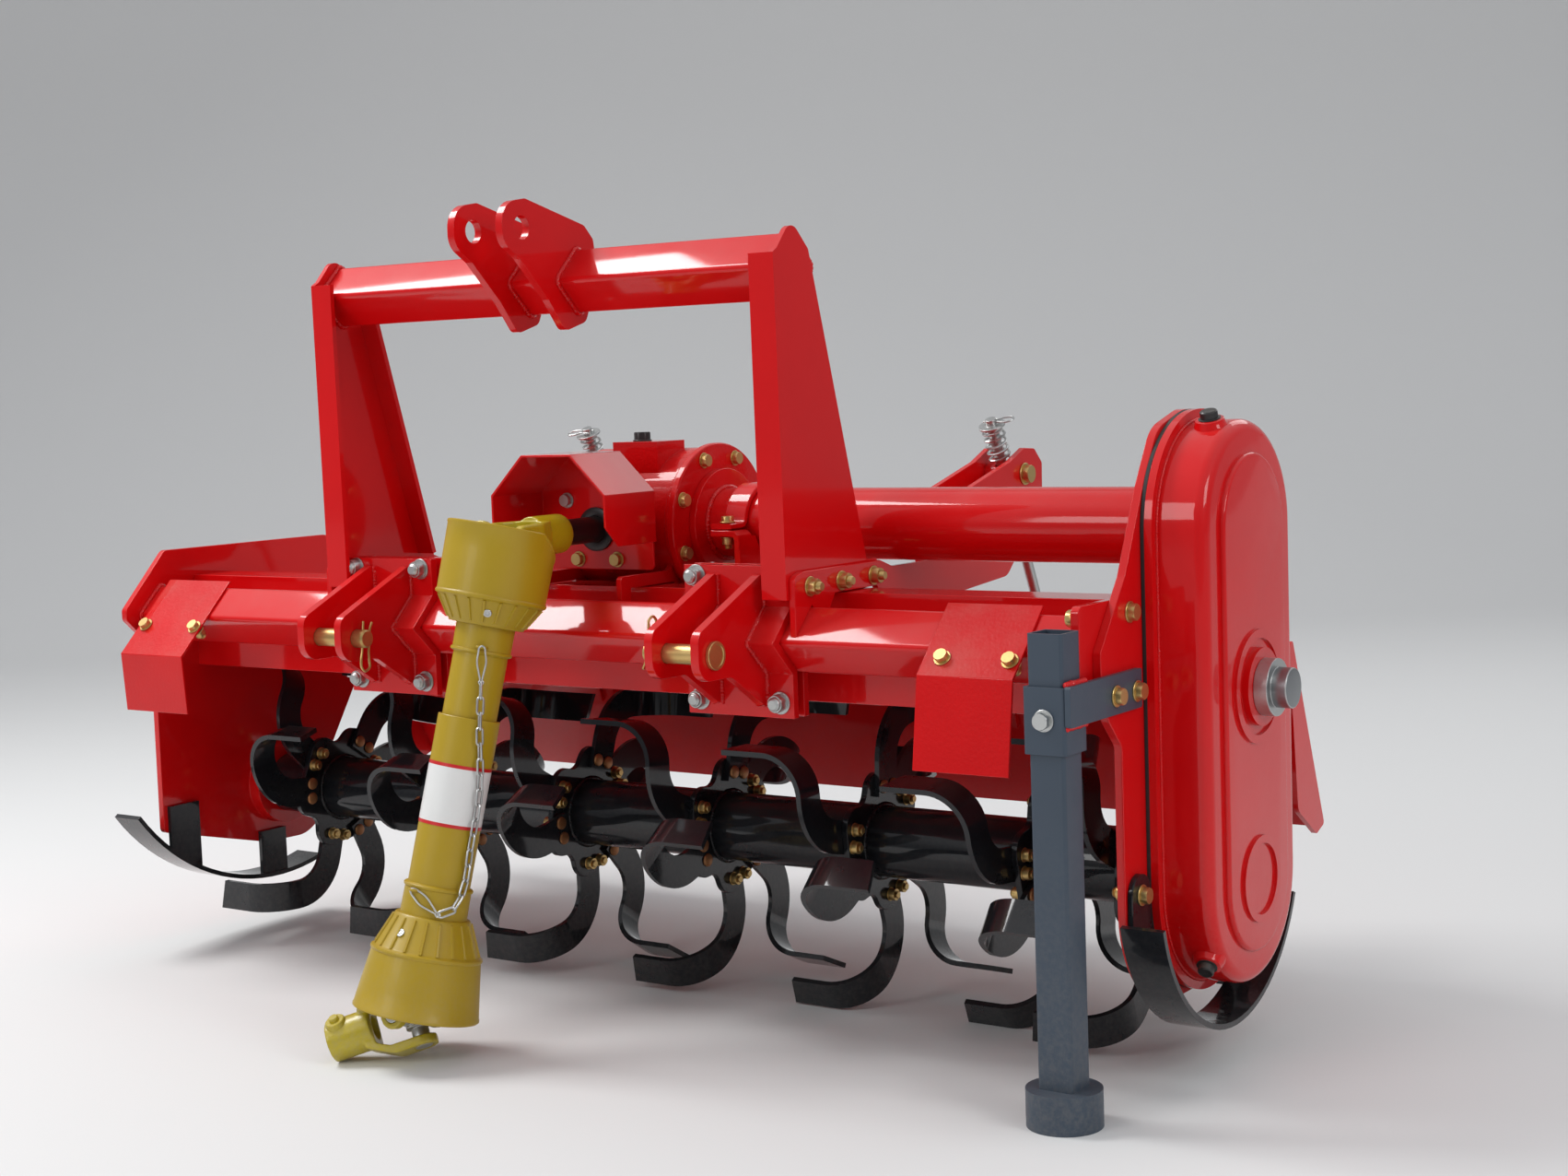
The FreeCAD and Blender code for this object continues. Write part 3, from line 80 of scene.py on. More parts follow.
# The rotor's flanges: x, the angle of the first tine in degrees, the sides that carry tines.
FLANGES = [(-752 + 288 * step, 185.4 + 8 * step, (-1, 1)) for step in range(6)] + [(845, 205.4, (-1,))]


def length(name, words, default, low, high):
    """A length setting, in metres."""
    return bpy.props.FloatProperty(
        name=name, description=words, default=default, min=low, max=high, unit="LENGTH")


def colour(name, words, default):
    """A colour setting."""
    return bpy.props.FloatVectorProperty(
        name=name, description=words, subtype="COLOR", size=3, min=0.0, max=1.0, default=default)


class TillerSizes(bpy.types.PropertyGroup):
    edge: length("Plate edge", "Width of the broken edge on cut plates", 0.0011, 0.0002, 0.004)
    cast_edge: length("Cast edge", "Width of the rounded edge on cast pieces", 0.003, 0.0005, 0.008)
    weld: length("Weld bead", "Radius of the weld beads", 0.0042, 0.001, 0.01)
    link_wire: length("Chain wire", "Wire of the shaft guard's chain", 0.0034, 0.001, 0.006)


class TillerColours(bpy.types.PropertyGroup):
    red: colour("Red paint", "Powder coat of the frame", (0.66, 0.0025, 0.004))
    black: colour("Black paint", "Gloss paint of the rotor and skids", (0.0075, 0.0085, 0.011))
    grey: colour("Grey paint", "Satin paint of the parking stand", (0.040, 0.060, 0.088))
    zinc: colour("Zinc", "Plated bolts, nuts and chain", (0.58, 0.59, 0.58))
    yellow_zinc: colour("Yellow zinc", "Pins and yellow passivated bolts", (0.66, 0.46, 0.18))
    casting: colour("Shaft yokes", "Painted yoke castings", (0.50, 0.39, 0.008))
    plastic: colour("Shaft guards", "Moulded shaft guards", (0.43, 0.285, 0.005))
    floor: colour("Floor", "Floor and backdrop", (0.74, 0.74, 0.73))


def place(point):
    """Millimetres from the toolbar's axis, as metres in the frame."""
    return np.asarray(point, float) / 1000 + ORIGIN


def unit(vectors):
    """Each vector over its own length."""
    vectors = np.asarray(vectors, float)
    return vectors / np.linalg.norm(vectors, axis=-1, keepdims=True)


def square_to(vector, way):
    """What is left of a vector without its share along a direction."""
    vector = np.asarray(vector, float)
    return vector - way * (vector @ way)


def turned_to(along, side=None):
    """Rows across, second across and along: a right-handed set of directions with +Z along."""
    along = unit(along)
    if side is None:
        side = (1, 0, 0) if abs(along[0]) < 0.9 else (0, 1, 0)
    side = unit(square_to(side, along))
    return np.array([side, np.cross(along, side), along])


def moved(shape, base, along=(0, 0, 1), side=None):
    """A shape made round the origin along +Z, in millimetres, set at a place and direction."""
    points, faces = shape
    return points @ turned_to(along, side) + np.asarray(base, float), faces


def grid(points, wrap_u=False, wrap_v=False):
    """Four-sided faces between the neighbours of a grid of points."""
    rows, columns = points.shape[:2]
    index = np.arange(rows * columns).reshape(rows, columns)
    if wrap_u:
        index = np.vstack([index, index[:1]])
    if wrap_v:
        index = np.hstack([index, index[:, :1]])
    corners = [index[:-1, :-1], index[:-1, 1:], index[1:, 1:], index[1:, :-1]]
    return points.reshape(-1, 3), np.stack(corners, -1).reshape(-1, 4)


def gathered(shapes):
    """Several shapes as one list of points and faces."""
    points, faces, count = [], [], 0
    for part_points, part_faces in shapes:
        points.append(part_points)
        faces.append(part_faces + count)
        count += len(part_points)
    return np.vstack(points), np.vstack(faces)


def turned(radius, turn, high):
    """Points about Z: x = r cos a, y = r sin a, z = the height, each number a grid, a row or a column."""
    radius, turn, high = np.broadcast_arrays(radius, turn, high)
    return np.stack([radius * np.cos(turn), radius * np.sin(turn), high], -1)


def revolved(profile, sides=32):
    """A profile of (distance along Z, radius) turned once about Z."""
    profile = np.asarray(profile, float)
    turn = np.arange(sides) * TURN / sides
    return grid(turned(profile[:, 1:], turn, profile[:, :1]), wrap_v=True)


def with_ends(points, faces, first, last, sides):
    """A carried section with its two open ends closed by fans round their middles."""
    count = len(points)
    step = np.arange(sides)
    after = (step + 1) % sides
    tail = count - sides
    start = np.stack([np.full(sides, count), after, step, np.full(sides, count)], -1)
    end = np.stack([np.full(sides, count + 1), tail + step, tail + after, np.full(sides, count + 1)], -1)
    return np.vstack([points, [first, last]]), np.vstack([faces, start, end])


def tube(line, radius, closed=False, sides=8):
    """A round section carried along a line, each ring square to the line's mean direction there."""
    line = np.asarray(line, float)
    radius = np.broadcast_to(np.asarray(radius, float), len(line))[:, None, None]
    way = unit(np.roll(line, -1, 0) - np.roll(line, 1, 0) if closed else np.gradient(line, axis=0))
    up = np.eye(3)[int(np.argmin(np.ptp(line, axis=0)))]
    first = unit(up - way * (way @ up)[:, None])
    second = np.cross(way, first)
    turn = (np.arange(sides) * TURN / sides)[:, None]
    rings = line[:, None] + radius * (first[:, None] * np.cos(turn) + second[:, None] * np.sin(turn))
    points, faces = grid(rings, wrap_u=closed, wrap_v=True)
    return (points, faces) if closed else with_ends(points, faces, line[0], line[-1], sides)


def carried(line, section, across):
    """A closed section carried along a line: its first number runs across, its second square to both."""
    line = np.asarray(line, float)
    section = np.asarray(section, float)
    across = np.asarray(across, float)
    out = unit(np.cross(np.gradient(line, axis=0), across))
    points = line[:, None] + section[None, :, :1] * across + section[None, :, 1:] * out[:, None]
    points, faces = grid(points, wrap_v=True)
    return with_ends(points, faces, line[0], line[-1], len(section))


def oblong(wide, thick, soft=1.2):
    """An oblong section with cut corners."""
    a, b = wide / 2, thick / 2
    return [(soft - a, -b), (a - soft, -b), (a, soft - b), (a, b - soft), (a - soft, b), (soft - a, b),
            (-a, b - soft), (-a, soft - b)]


def hexagon(across, start, end, bevel, sides=24):
    """A nut or head: radius = half across / cos(angle from the nearest flat), its two rims turned off."""
    turn = (np.arange(sides) + 0.5) * TURN / sides
    flat = across / 2 / np.cos((turn + TURN / 12) % (TURN / 6) - TURN / 12)
    rim = across / 2 * 1.01
    # rows: distance along Z and the radius that the flats don't pass there
    rows = np.array([(start, 0), (start, rim), (start, np.inf), (end - bevel, np.inf), (end, rim), (end, 0)])
    return grid(turned(np.minimum(flat, rows[:, 1:]), turn, rows[:, :1]), wrap_v=True)


def washer(inner, outer, start, end):
    """A flat ring with slightly turned rims."""
    soft = min(0.5, (end - start) / 3)
    return revolved([
        (start, inner), (start, outer - soft), (start + soft, outer), (end - soft, outer),
        (end, outer - soft), (end, inner), (start, inner)], 28)


def threaded(radius, start, end):
    """A bolt's end: turns of thread 1.8 mm apart and 0.7 mm deep, chamfered at the tip."""
    steps = max(6, int((end - start) / 0.9))
    high = np.linspace(start, end - 1.2, steps)
    depth = np.where(np.arange(steps) % 2, radius, radius - 0.7)
    return revolved([(start, 0), *zip(high, depth), (end, radius - 1.4), (end, 0)], 16)


def bolt(size, grip, nut):
    """A hexagon bolt, its head on the +Z side and its nut below the grip; nut is False, True or "lock"."""
    flats, thick, bevel = size * 1.5, size * 0.16, size * 0.07
    ring = washer(size / 2, size * 1.02, 0, thick)
    shapes = [ring, hexagon(flats, thick, size * 0.82, bevel)]
    if nut:
        top = size * 0.98
        below = [ring, hexagon(flats, thick, top, bevel), threaded(size / 2, size * 0.5, top + 7)]
        if nut == "lock":
            collar = [(0.9, 0.66), (1.12, 0.64), (1.22, 0.58), (1.26, 0.52), (1.22, 0.48), (1.1, 0.44)]
            below.append(revolved(np.array(collar) * size, 24))
        points, faces = gathered(below)
        shapes.append((points * [1, -1, -1] - [0, 0, grip], faces))
    return gathered(shapes)


def reaches(line):
    """How far along a line each of its points lies."""
    return np.concatenate([[0], np.cumsum(np.linalg.norm(np.diff(line, axis=0), axis=1))])


def line_at(line, reach):
    """The points at distances along a line."""
    gone = reaches(line)
    return np.stack([np.interp(reach, gone, line[:, i]) for i in range(3)], -1)


def bead(line, radius, ripple=0.16, seed=1):
    """A weld bead: a round section along a line, its radius rippling every 4.6 mm and a little at random."""
    line = np.asarray(line, float)
    long = reaches(line)[-1]
    count = max(8, int(long / 1.6))
    even = np.linspace(0, long, count)
    uneven = np.random.default_rng(seed).normal(0, 0.07, count)
    radius = radius * (1 + ripple * np.sin(even * TURN / 4.6) + uneven)
    radius[[0, -1]] *= 0.5
    return tube(line_at(line, even), radius)


def smooth_line(points, count, closed=False):
    """A line through points: between two of them a cubic whose ends run along their neighbours' chords."""
    points = np.asarray(points, float)
    if closed:
        ring = np.vstack([points[-1:], points, points[:2]])
        spans = len(points)
    else:
        ring = np.vstack([2 * points[:1] - points[1:2], points, 2 * points[-1:] - points[-2:-1]])
        spans = len(points) - 1
    at = np.linspace(0, spans, count, endpoint=not closed)
    first = np.minimum(at.astype(int), spans - 1)
    t = (at - first)[:, None]
    a, b, c, d = (ring[first + i] for i in range(4))
    return (b + t * (c - a) / 2 + t ** 2 * (a - 2.5 * b + 2 * c - d / 2)
            + t ** 3 * (1.5 * (b - c) + (d - a) / 2))


def oval_link(pitch, wire):
    """A chain link along Z and flat across Y: two half circles joined by straights."""
    bend = wire * 1.35
    turn = np.linspace(0, math.pi, 9)
    top = np.stack([bend * np.cos(turn), 0 * turn, bend * np.sin(turn) + pitch / 2 + wire / 2 - bend], -1)
    return tube(np.vstack([top, top * [-1, 1, -1]]), wire / 2, closed=True)


def shaded(mesh, sharp):
    """Smooth shading, with a sharp edge where faces meet at more than an angle."""
    mesh.polygons.foreach_set("use_smooth", np.ones(len(mesh.polygons), bool))
    mesh.set_sharp_from_angle(angle=math.radians(sharp))


def linked(name, mesh, material):
    """A mesh in one of the finishes, as an object in the scene."""
    mesh.materials.append(bpy.data.materials[FINISH_NAME + material])
    thing = bpy.data.objects.new(name, mesh)
    bpy.context.scene.collection.objects.link(thing)
    return thing


def built(name, shapes, material, sharp=35.0):
    """An object made of shapes in millimetres, its seams and poles closed and its faces outwards."""
    points, faces = gathered(shapes)
    mesh = bpy.data.meshes.new(name)
    mesh.from_pydata(place(points).tolist(), [], faces.tolist())
    work = bmesh.new()
    work.from_mesh(mesh)
    bmesh.ops.remove_doubles(work, verts=work.verts, dist=2e-6)
    bmesh.ops.dissolve_degenerate(work, edges=work.edges, dist=1e-7)
    bmesh.ops.recalc_face_normals(work, faces=work.faces)
    work.to_mesh(mesh)
    work.free()
    shaded(mesh, sharp)
    return linked(name, mesh, material)


def piece(name, shapes, material, body, nodes=(), sharp=35.0):
    """An object made of shapes, riding on a body and standing for its nodes."""
    thing = built(name, shapes, material, sharp)
    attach(thing, body)
    if nodes:
        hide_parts(*nodes)


def body_of_node(node):
    """The body that carries a node of the frame."""
    for body, members in frame["record"]["behaviour"]["bodies"].items():
        if node in members:
            return body
    raise RuntimeError(f"no body carries {node}")


def modified(thing, name, kind, **settings):
    """Give an object a modifier with its settings."""
    modifier = thing.modifiers.new(name, kind)
    for key, value in settings.items():
        setattr(modifier, key, value)


def finished(node, material, kind, width, sharp=32.0):
    """A copy of a node with its flat faces made whole and its edges broken, or with a forging's soft skin."""
    mesh = frame["nodes"][node].data.copy()
    mesh.name = f"{node}_finish"
    work = bmesh.new()
    work.from_mesh(mesh)
    bmesh.ops.remove_doubles(work, verts=work.verts, dist=1e-5)
    bmesh.ops.dissolve_limit(
        work, angle_limit=math.radians(0.4), use_dissolve_boundaries=False, verts=work.verts,
        edges=work.edges, delimit={"NORMAL"})
    bmesh.ops.recalc_face_normals(work, faces=work.faces)
    work.to_mesh(mesh)
    work.free()
    if mesh.attributes.get("custom_normal"):
        mesh.attributes.remove(mesh.attributes["custom_normal"])
    shaded(mesh, sharp)
    mesh.materials.clear()
    thing = linked(f"{node}_finish", mesh, material)
    if kind == "forged":
        modified(thing, "even skin", "REMESH", mode="VOXEL", voxel_size=0.0017, use_smooth_shade=True)
        modified(thing, "soft edges", "SMOOTH", factor=0.5, iterations=7)
    else:
        modified(thing, "broken edge", "BEVEL", width=width, segments=3 if kind == "cast" else 2,
                 limit_method="ANGLE", angle_limit=math.radians(sharp), use_clamp_overlap=True,
                 harden_normals=True)
    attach(thing, body_of_node(node))
    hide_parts(node)


FLOAT, COLOR, VECTOR = "NodeSocketFloat", "NodeSocketColor", "NodeSocketVector"


def group(name, inputs, outputs):
    """An empty node group with named inputs (kind, name, value) and outputs (kind, name)."""
    tree = bpy.data.node_groups.new(name, "ShaderNodeTree")
    for kind, label, value in inputs:
        socket = tree.interface.new_socket(label, in_out="INPUT", socket_type=kind)
        socket.default_value = value
    for kind, label in outputs:
        tree.interface.new_socket(label, in_out="OUTPUT", socket_type=kind)
    return tree, tree.nodes.new("NodeGroupInput").outputs, tree.nodes.new("NodeGroupOutput").inputs


def add(tree, kind, values=None, **settings):
    """A node with its settings and its socket values or links."""
    node = tree.nodes.new(kind)
    for name, value in settings.items():
        setattr(node, name, value)
    for key, value in (values or {}).items():
        if isinstance(value, bpy.types.NodeSocket):
            tree.links.new(value, node.inputs[key])
        else:
            node.inputs[key].default_value = value
    return node


def noise(tree, scale, detail=3.0, roughness=0.55):
    """Noise on Object coordinates."""
    where = add(tree, "ShaderNodeTexCoord").outputs["Object"]
    return add(tree, "ShaderNodeTexNoise", {
        "Vector": where, "Scale": scale, "Detail": detail, "Roughness": roughness}).outputs["Fac"]


def smooth_step(tree, value, low, high):
    """0 below low, 1 above high, and an even rise between them."""
    node = add(tree, "ShaderNodeMapRange", {"Value": value, "From Min": low, "From Max": high},
               interpolation_type="SMOOTHSTEP")
    return node.outputs["Result"]


def multiply(tree, a, b):
    """The product of two values."""
    return add(tree, "ShaderNodeMath", {0: a, 1: b}, operation="MULTIPLY").outputs[0]


def mixed(tree, share, a, b):
    """A colour between two: the first where the share is 0, the second where it is 1."""
    return add(tree, "ShaderNodeMix", {0: share, 6: a, 7: b}, data_type="RGBA").outputs[2]


def patchy_group():
    """Colour that drifts a little towards a second one in broad patches and fine specks."""
    tree, given, result = group("patchy colour", [
        (COLOR, "Color", (0.5, 0.5, 0.5, 1)), (COLOR, "Second Color", (0.4, 0.4, 0.4, 1)),
        (FLOAT, "Patch Scale", 5.0), (FLOAT, "Patch Amount", 0.3), (FLOAT, "Speck Amount", 0.1),
    ], [(COLOR, "Color")])
    broad = smooth_step(tree, noise(tree, given["Patch Scale"], 4.0), 0.35, 0.7)
    specks = smooth_step(tree, noise(tree, 260.0, 2.0), 0.62, 0.72)
    patched = mixed(tree, multiply(tree, broad, given["Patch Amount"]), given["Color"], given["Second Color"])
    specked = mixed(tree, multiply(tree, specks, given["Speck Amount"]), patched, given["Second Color"])
    tree.links.new(specked, result["Color"])


def dust_group():
    """Dust that lies on faces looking up and near the ground, broken up by noise."""
    tree, given, result = group("settled dust", [
        (COLOR, "Color", (0.5, 0.5, 0.5, 1)), (COLOR, "Dust Color", (0.34, 0.29, 0.23, 1)),
        (FLOAT, "Dust", 0.3), (FLOAT, "Ground Dust", 0.3),
        (FLOAT, "Clean Roughness", 0.2), (FLOAT, "Dusty Roughness", 0.7),
    ], [(COLOR, "Color"), (FLOAT, "Roughness")])
    normal = add(tree, "ShaderNodeNewGeometry").outputs["Normal"]
    up = add(tree, "ShaderNodeSeparateXYZ", {0: normal}).outputs["Z"]
    where = add(tree, "ShaderNodeTexCoord").outputs["Object"]
    high = add(tree, "ShaderNodeSeparateXYZ", {0: where}).outputs["Z"]
    low = add(tree, "ShaderNodeMapRange", {
        "Value": high, "From Min": 0.02, "From Max": 0.42, "To Min": 1.0, "To Max": 0.0}).outputs["Result"]
    broken = smooth_step(tree, noise(tree, 9.0, 6.0, 0.65), 0.34, 0.72)
    fine = smooth_step(tree, noise(tree, 120.0, 3.0, 0.7), 0.3, 0.8)
    top = multiply(tree, multiply(tree, smooth_step(tree, up, 0.25, 1.0), given["Dust"]), broken)
    ground = multiply(tree, multiply(tree, low, given["Ground Dust"]), fine)
    mask = add(tree, "ShaderNodeMath", {0: top, 1: ground}, operation="MAXIMUM").outputs[0]
    tree.links.new(mixed(tree, mask, given["Color"], given["Dust Color"]), result["Color"])
    rough = add(tree, "ShaderNodeMapRange", {
        "Value": mask, "To Min": given["Clean Roughness"],
        "To Max": given["Dusty Roughness"]}).outputs["Result"]
    smear = multiply(tree, smooth_step(tree, noise(tree, 14.0, 5.0, 0.7), 0.3, 0.75), 0.08)
    total = add(tree, "ShaderNodeMath", {0: rough, 1: smear}, operation="ADD").outputs[0]
    tree.links.new(total, result["Roughness"])


def grain_group():
    """Fine relief of a surface: orange peel on paint, pits on castings, and broad unevenness."""
    tree, given, result = group("surface grain", [
        (FLOAT, "Grain Scale", 400.0), (FLOAT, "Grain Height", 0.0002), (FLOAT, "Wave Height", 0.0005),
    ], [(VECTOR, "Normal")])
    fine = noise(tree, given["Grain Scale"], 2.0)
    wave = noise(tree, 7.0, 1.0)
    broad = add(tree, "ShaderNodeBump", {
        "Height": wave, "Distance": given["Wave Height"], "Strength": 1.0}).outputs[0]
    relief = add(tree, "ShaderNodeBump", {
        "Height": fine, "Distance": given["Grain Height"], "Normal": broad, "Strength": 1.0}).outputs[0]
    tree.links.new(relief, result["Normal"])


# The finishes' names begin so, apart from the frame's own plain materials.
FINISH_NAME = "finish "
# finish: colour or its setting, metallic, coat, clean roughness, second tone (of the colour), patch, speck,
# dust, ground dust, grain scale, grain height in mm, wave height in mm
FINISH_TABLE = {
    "red_paint": ("red", 0.0, 1.00, 0.34, 0.80, 0.25, 0.05, 0.08, 0.06, 330.0, 0.09, 0.5),
    "red_casting": ("red", 0.0, 0.75, 0.33, 0.72, 0.35, 0.15, 0.22, 0.10, 190.0, 0.55, 1.2),
    "black_paint": ("black", 0.0, 1.00, 0.26, 1.8, 0.30, 0.15, 0.05, 0.06, 260.0, 0.12, 0.8),
    "grey_paint": ("grey", 0.0, 0.10, 0.42, 0.85, 0.30, 0.10, 0.12, 0.16, 300.0, 0.10, 0.6),
    "black_steel": ((0.03, 0.03, 0.032), 0.6, 0.0, 0.35, 1.6, 0.40, 0.10, 0.20, 0.10, 200.0, 0.10, 0.2),
    "zinc": ("zinc", 1.0, 0.0, 0.34, 0.62, 0.45, 0.30, 0.18, 0.10, 500.0, 0.05, 0.1),
    "yellow_zinc": ("yellow_zinc", 0.9, 0.0, 0.32, 0.55, 0.60, 0.30, 0.18, 0.10, 500.0, 0.05, 0.1),
    "gold_casting": ("casting", 0.0, 0.40, 0.33, 0.62, 0.45, 0.15, 0.20, 0.25, 150.0, 0.60, 1.0),
    "yellow_plastic": ("plastic", 0.0, 0.10, 0.40, 0.80, 0.35, 0.08, 0.12, 0.12, 420.0, 0.06, 0.4),
    "bronzed": ((0.42, 0.19, 0.075), 0.7, 0.0, 0.42, 0.60, 0.60, 0.30, 0.18, 0.10, 400.0, 0.08, 0.1),
    "dark_steel": ((0.30, 0.31, 0.32), 1.0, 0.0, 0.36, 0.80, 0.40, 0.20, 0.10, 0.10, 300.0, 0.06, 0.1),
    "gasket": ((0.014, 0.014, 0.015), 0.0, 0.0, 0.65, 1.6, 0.30, 0.20, 0.20, 0.20, 300.0, 0.10, 0.2),
    "label_white": ((0.80, 0.80, 0.78), 0.0, 0.30, 0.30, 0.86, 0.30, 0.10, 0.20, 0.15, 500.0, 0.03, 0.2),
    "label_red": ((0.60, 0.012, 0.015), 0.0, 0.30, 0.30, 0.80, 0.20, 0.10, 0.15, 0.15, 500.0, 0.03, 0.2),
    "black_plastic": ((0.014, 0.014, 0.015), 0.0, 0.10, 0.38, 1.8, 0.30, 0.10, 0.25, 0.15, 420.0, 0.08, 0.2),
}
# Under a coat as heavy as this the paint itself hardly shines: the coat does.
HEAVY_COAT = 0.7


def placed(tree, name, values):
    """One of the node groups, with its values or links."""
    return add(tree, "ShaderNodeGroup", values, node_tree=bpy.data.node_groups[name]).outputs


def finish(name, tint, metallic, coat, rough, tone, patch, speck, dust, ground, scale, grain, wave):
    """A material from its row of the finish table."""
    material = bpy.data.materials.new(FINISH_NAME + name)
    material.use_nodes = True
    tree = material.node_tree
    shader = tree.nodes["Principled BSDF"].inputs
    base = (*tint, 1.0)
    second = (*[min(1.0, c * tone) for c in tint], 1.0)
    material.diffuse_color = base
    patchy = placed(tree, "patchy colour", {
        "Color": base, "Second Color": second, "Patch Amount": patch, "Speck Amount": speck})
    dusty = placed(tree, "settled dust", {
        "Color": patchy["Color"], "Dust": dust, "Ground Dust": ground, "Clean Roughness": rough})
    grainy = placed(tree, "surface grain", {
        "Grain Scale": scale, "Grain Height": grain / 1000, "Wave Height": wave / 1000})
    tree.links.new(dusty["Color"], shader["Base Color"])
    tree.links.new(dusty["Roughness"], shader["Roughness"])
    tree.links.new(grainy["Normal"], shader["Normal"])
    shader["Metallic"].default_value = metallic
    shader["Coat Weight"].default_value = coat
    shader["Coat Roughness"].default_value = 0.06
    shader["Coat IOR"].default_value = 1.4
    shader["Specular IOR Level"].default_value = 0.5 if coat < HEAVY_COAT else 0.08


class TILLER_OT_finishes(bpy.types.Operator):
    """Make every finish of the machine"""
    bl_idname = "tiller.finishes"
    bl_label = "Finishes"

    def execute(self, context):
        tints = context.scene.tiller_colours
        patchy_group()
        dust_group()
        grain_group()
        for name, (tint, *values) in FINISH_TABLE.items():
            finish(name, tuple(getattr(tints, tint) if isinstance(tint, str) else tint), *values)
        return {"FINISHED"}


# finish, record slot, kind of edge ("plate" broken, "cast" rounded, "forged" soft all over, None as it is),
# nodes
NODE_TABLE = (
    ("red_paint", "red_paint", "plate",
     "toolbar mast_left mast_right top_crossbar top_link_plates clevis_left clevis_right clevis_clamps "
     "gearbox_cradle input_guard cross_tube deck end_plate_left side_plate_right side_arm_left side_arm_right "
     "swivel_left swivel_right rear_board"),
    ("red_paint", "red_paint", "cast", "side_drive_cover"),
    ("red_casting", "red_paint", "cast", "gearbox_housing gearbox_cover"),
    ("red_casting", "red_paint", "plate", "stone_guards"),
    ("black_steel", "black_steel", "plate", "input_shaft"),
    ("gasket", "gasket", "plate", "drive_gasket"),
    ("black_paint", "black_paint", "plate", "skids rotor_shaft"),
    ("black_paint", "black_paint", None, "tines_left tines_right"),
    ("grey_paint", "grey_paint", "plate", "stand_sleeve stand_leg"),
    ("zinc", "bright_steel", "plate",
     "hinge_rod idler_nut spring_rod_left spring_rod_right cross_upper cross_lower"),
    ("zinc", "bright_steel", None, "springs_left springs_right"),
    ("gold_casting", "gold_cast", "forged", "yoke_gearbox yoke_upper yoke_lower yoke_end"),
)


class TILLER_OT_frame_finish(bpy.types.Operator):
    """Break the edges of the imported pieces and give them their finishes"""
    bl_idname = "tiller.frame_finish"
    bl_label = "Frame finish"

    def execute(self, context):
        sizes = context.scene.tiller_sizes
        for name, slot, kind, nodes in NODE_TABLE:
            for node in nodes.split():
                if kind:
                    finished(node, name, kind, sizes.cast_edge if kind == "cast" else sizes.edge)
                    continue
                for place_of_slot in frame["nodes"][node].material_slots:
                    place_of_slot.material = bpy.data.materials[FINISH_NAME + name]
        return {"FINISHED"}


# The drive shaft at rest: its two joints' middles, the way from the upper to the lower, the upper one's pin.
# The lower joint lies as high as the end yoke's hub, 130 mm long and 30 mm in radius, needs above the floor,
# which is 746 mm below the upper joint.
HUB = unit((-0.78, -0.55, -0.30))
UPPER = np.array([0.0, -130.0, 146.0])
LOWER = UPPER + [-70.0, -155.0, 130 * abs(HUB[2]) + 30 * math.hypot(HUB[0], HUB[1]) - 746]
SHAFT = unit(LOWER - UPPER)
PIN = unit(np.cross([1, 0, 0], SHAFT))


def on_shaft(reach, turn, radius):
    """Places beside the shaft: how far from its upper joint, degrees about it from the pin, how far out."""
    turn = np.radians(turn)[..., None]
    return UPPER + SHAFT * reach + radius * (PIN * np.cos(turn) + np.cross(SHAFT, PIN) * np.sin(turn))


def ribbed_shell(outer, slope, wall=3.0, ribs=20, rib=2.4, rise=60.0):
    """A guard's shell: radius = the outline's + the share of a rib's height near each rib.

    Rows of outer are (distance along Z, radius, share of the ribs). Where a slope is given, the mouth's
    rim lies at its own distance + slope times x for x above 0, and the rows up to rise close up to it."""
    outer = np.asarray(outer, float)
    step = 360 / ribs
    # degrees from each rib, and how much of the rib stands there
    offset = np.array([-1.9, -1.2, 1.2, 1.9, step * 0.3, step * 0.5, step * 0.7])
    share = np.array([0, 1, 1, 0, 0, 0, 0])
    turn = np.radians((np.arange(ribs)[:, None] * step + offset).ravel())
    inner = outer[::-1] * [1, 1, 0] - [0, wall, 0]
    rows = np.vstack([outer, inner])
    radius = rows[:, 1:2] + rib * rows[:, 2:] * np.tile(share, ribs)
    high = np.broadcast_to(rows[:, :1], radius.shape)
    if slope:
        start = rows[:, 0].min()
        rim = start + slope * np.maximum(radius * np.cos(turn), 0)
        near = rim + (high - start) / (rise - start) * (rise - rim)
        high = np.where(high < rise, near, high)
    return grid(turned(radius, turn, high), wrap_u=True, wrap_v=True)


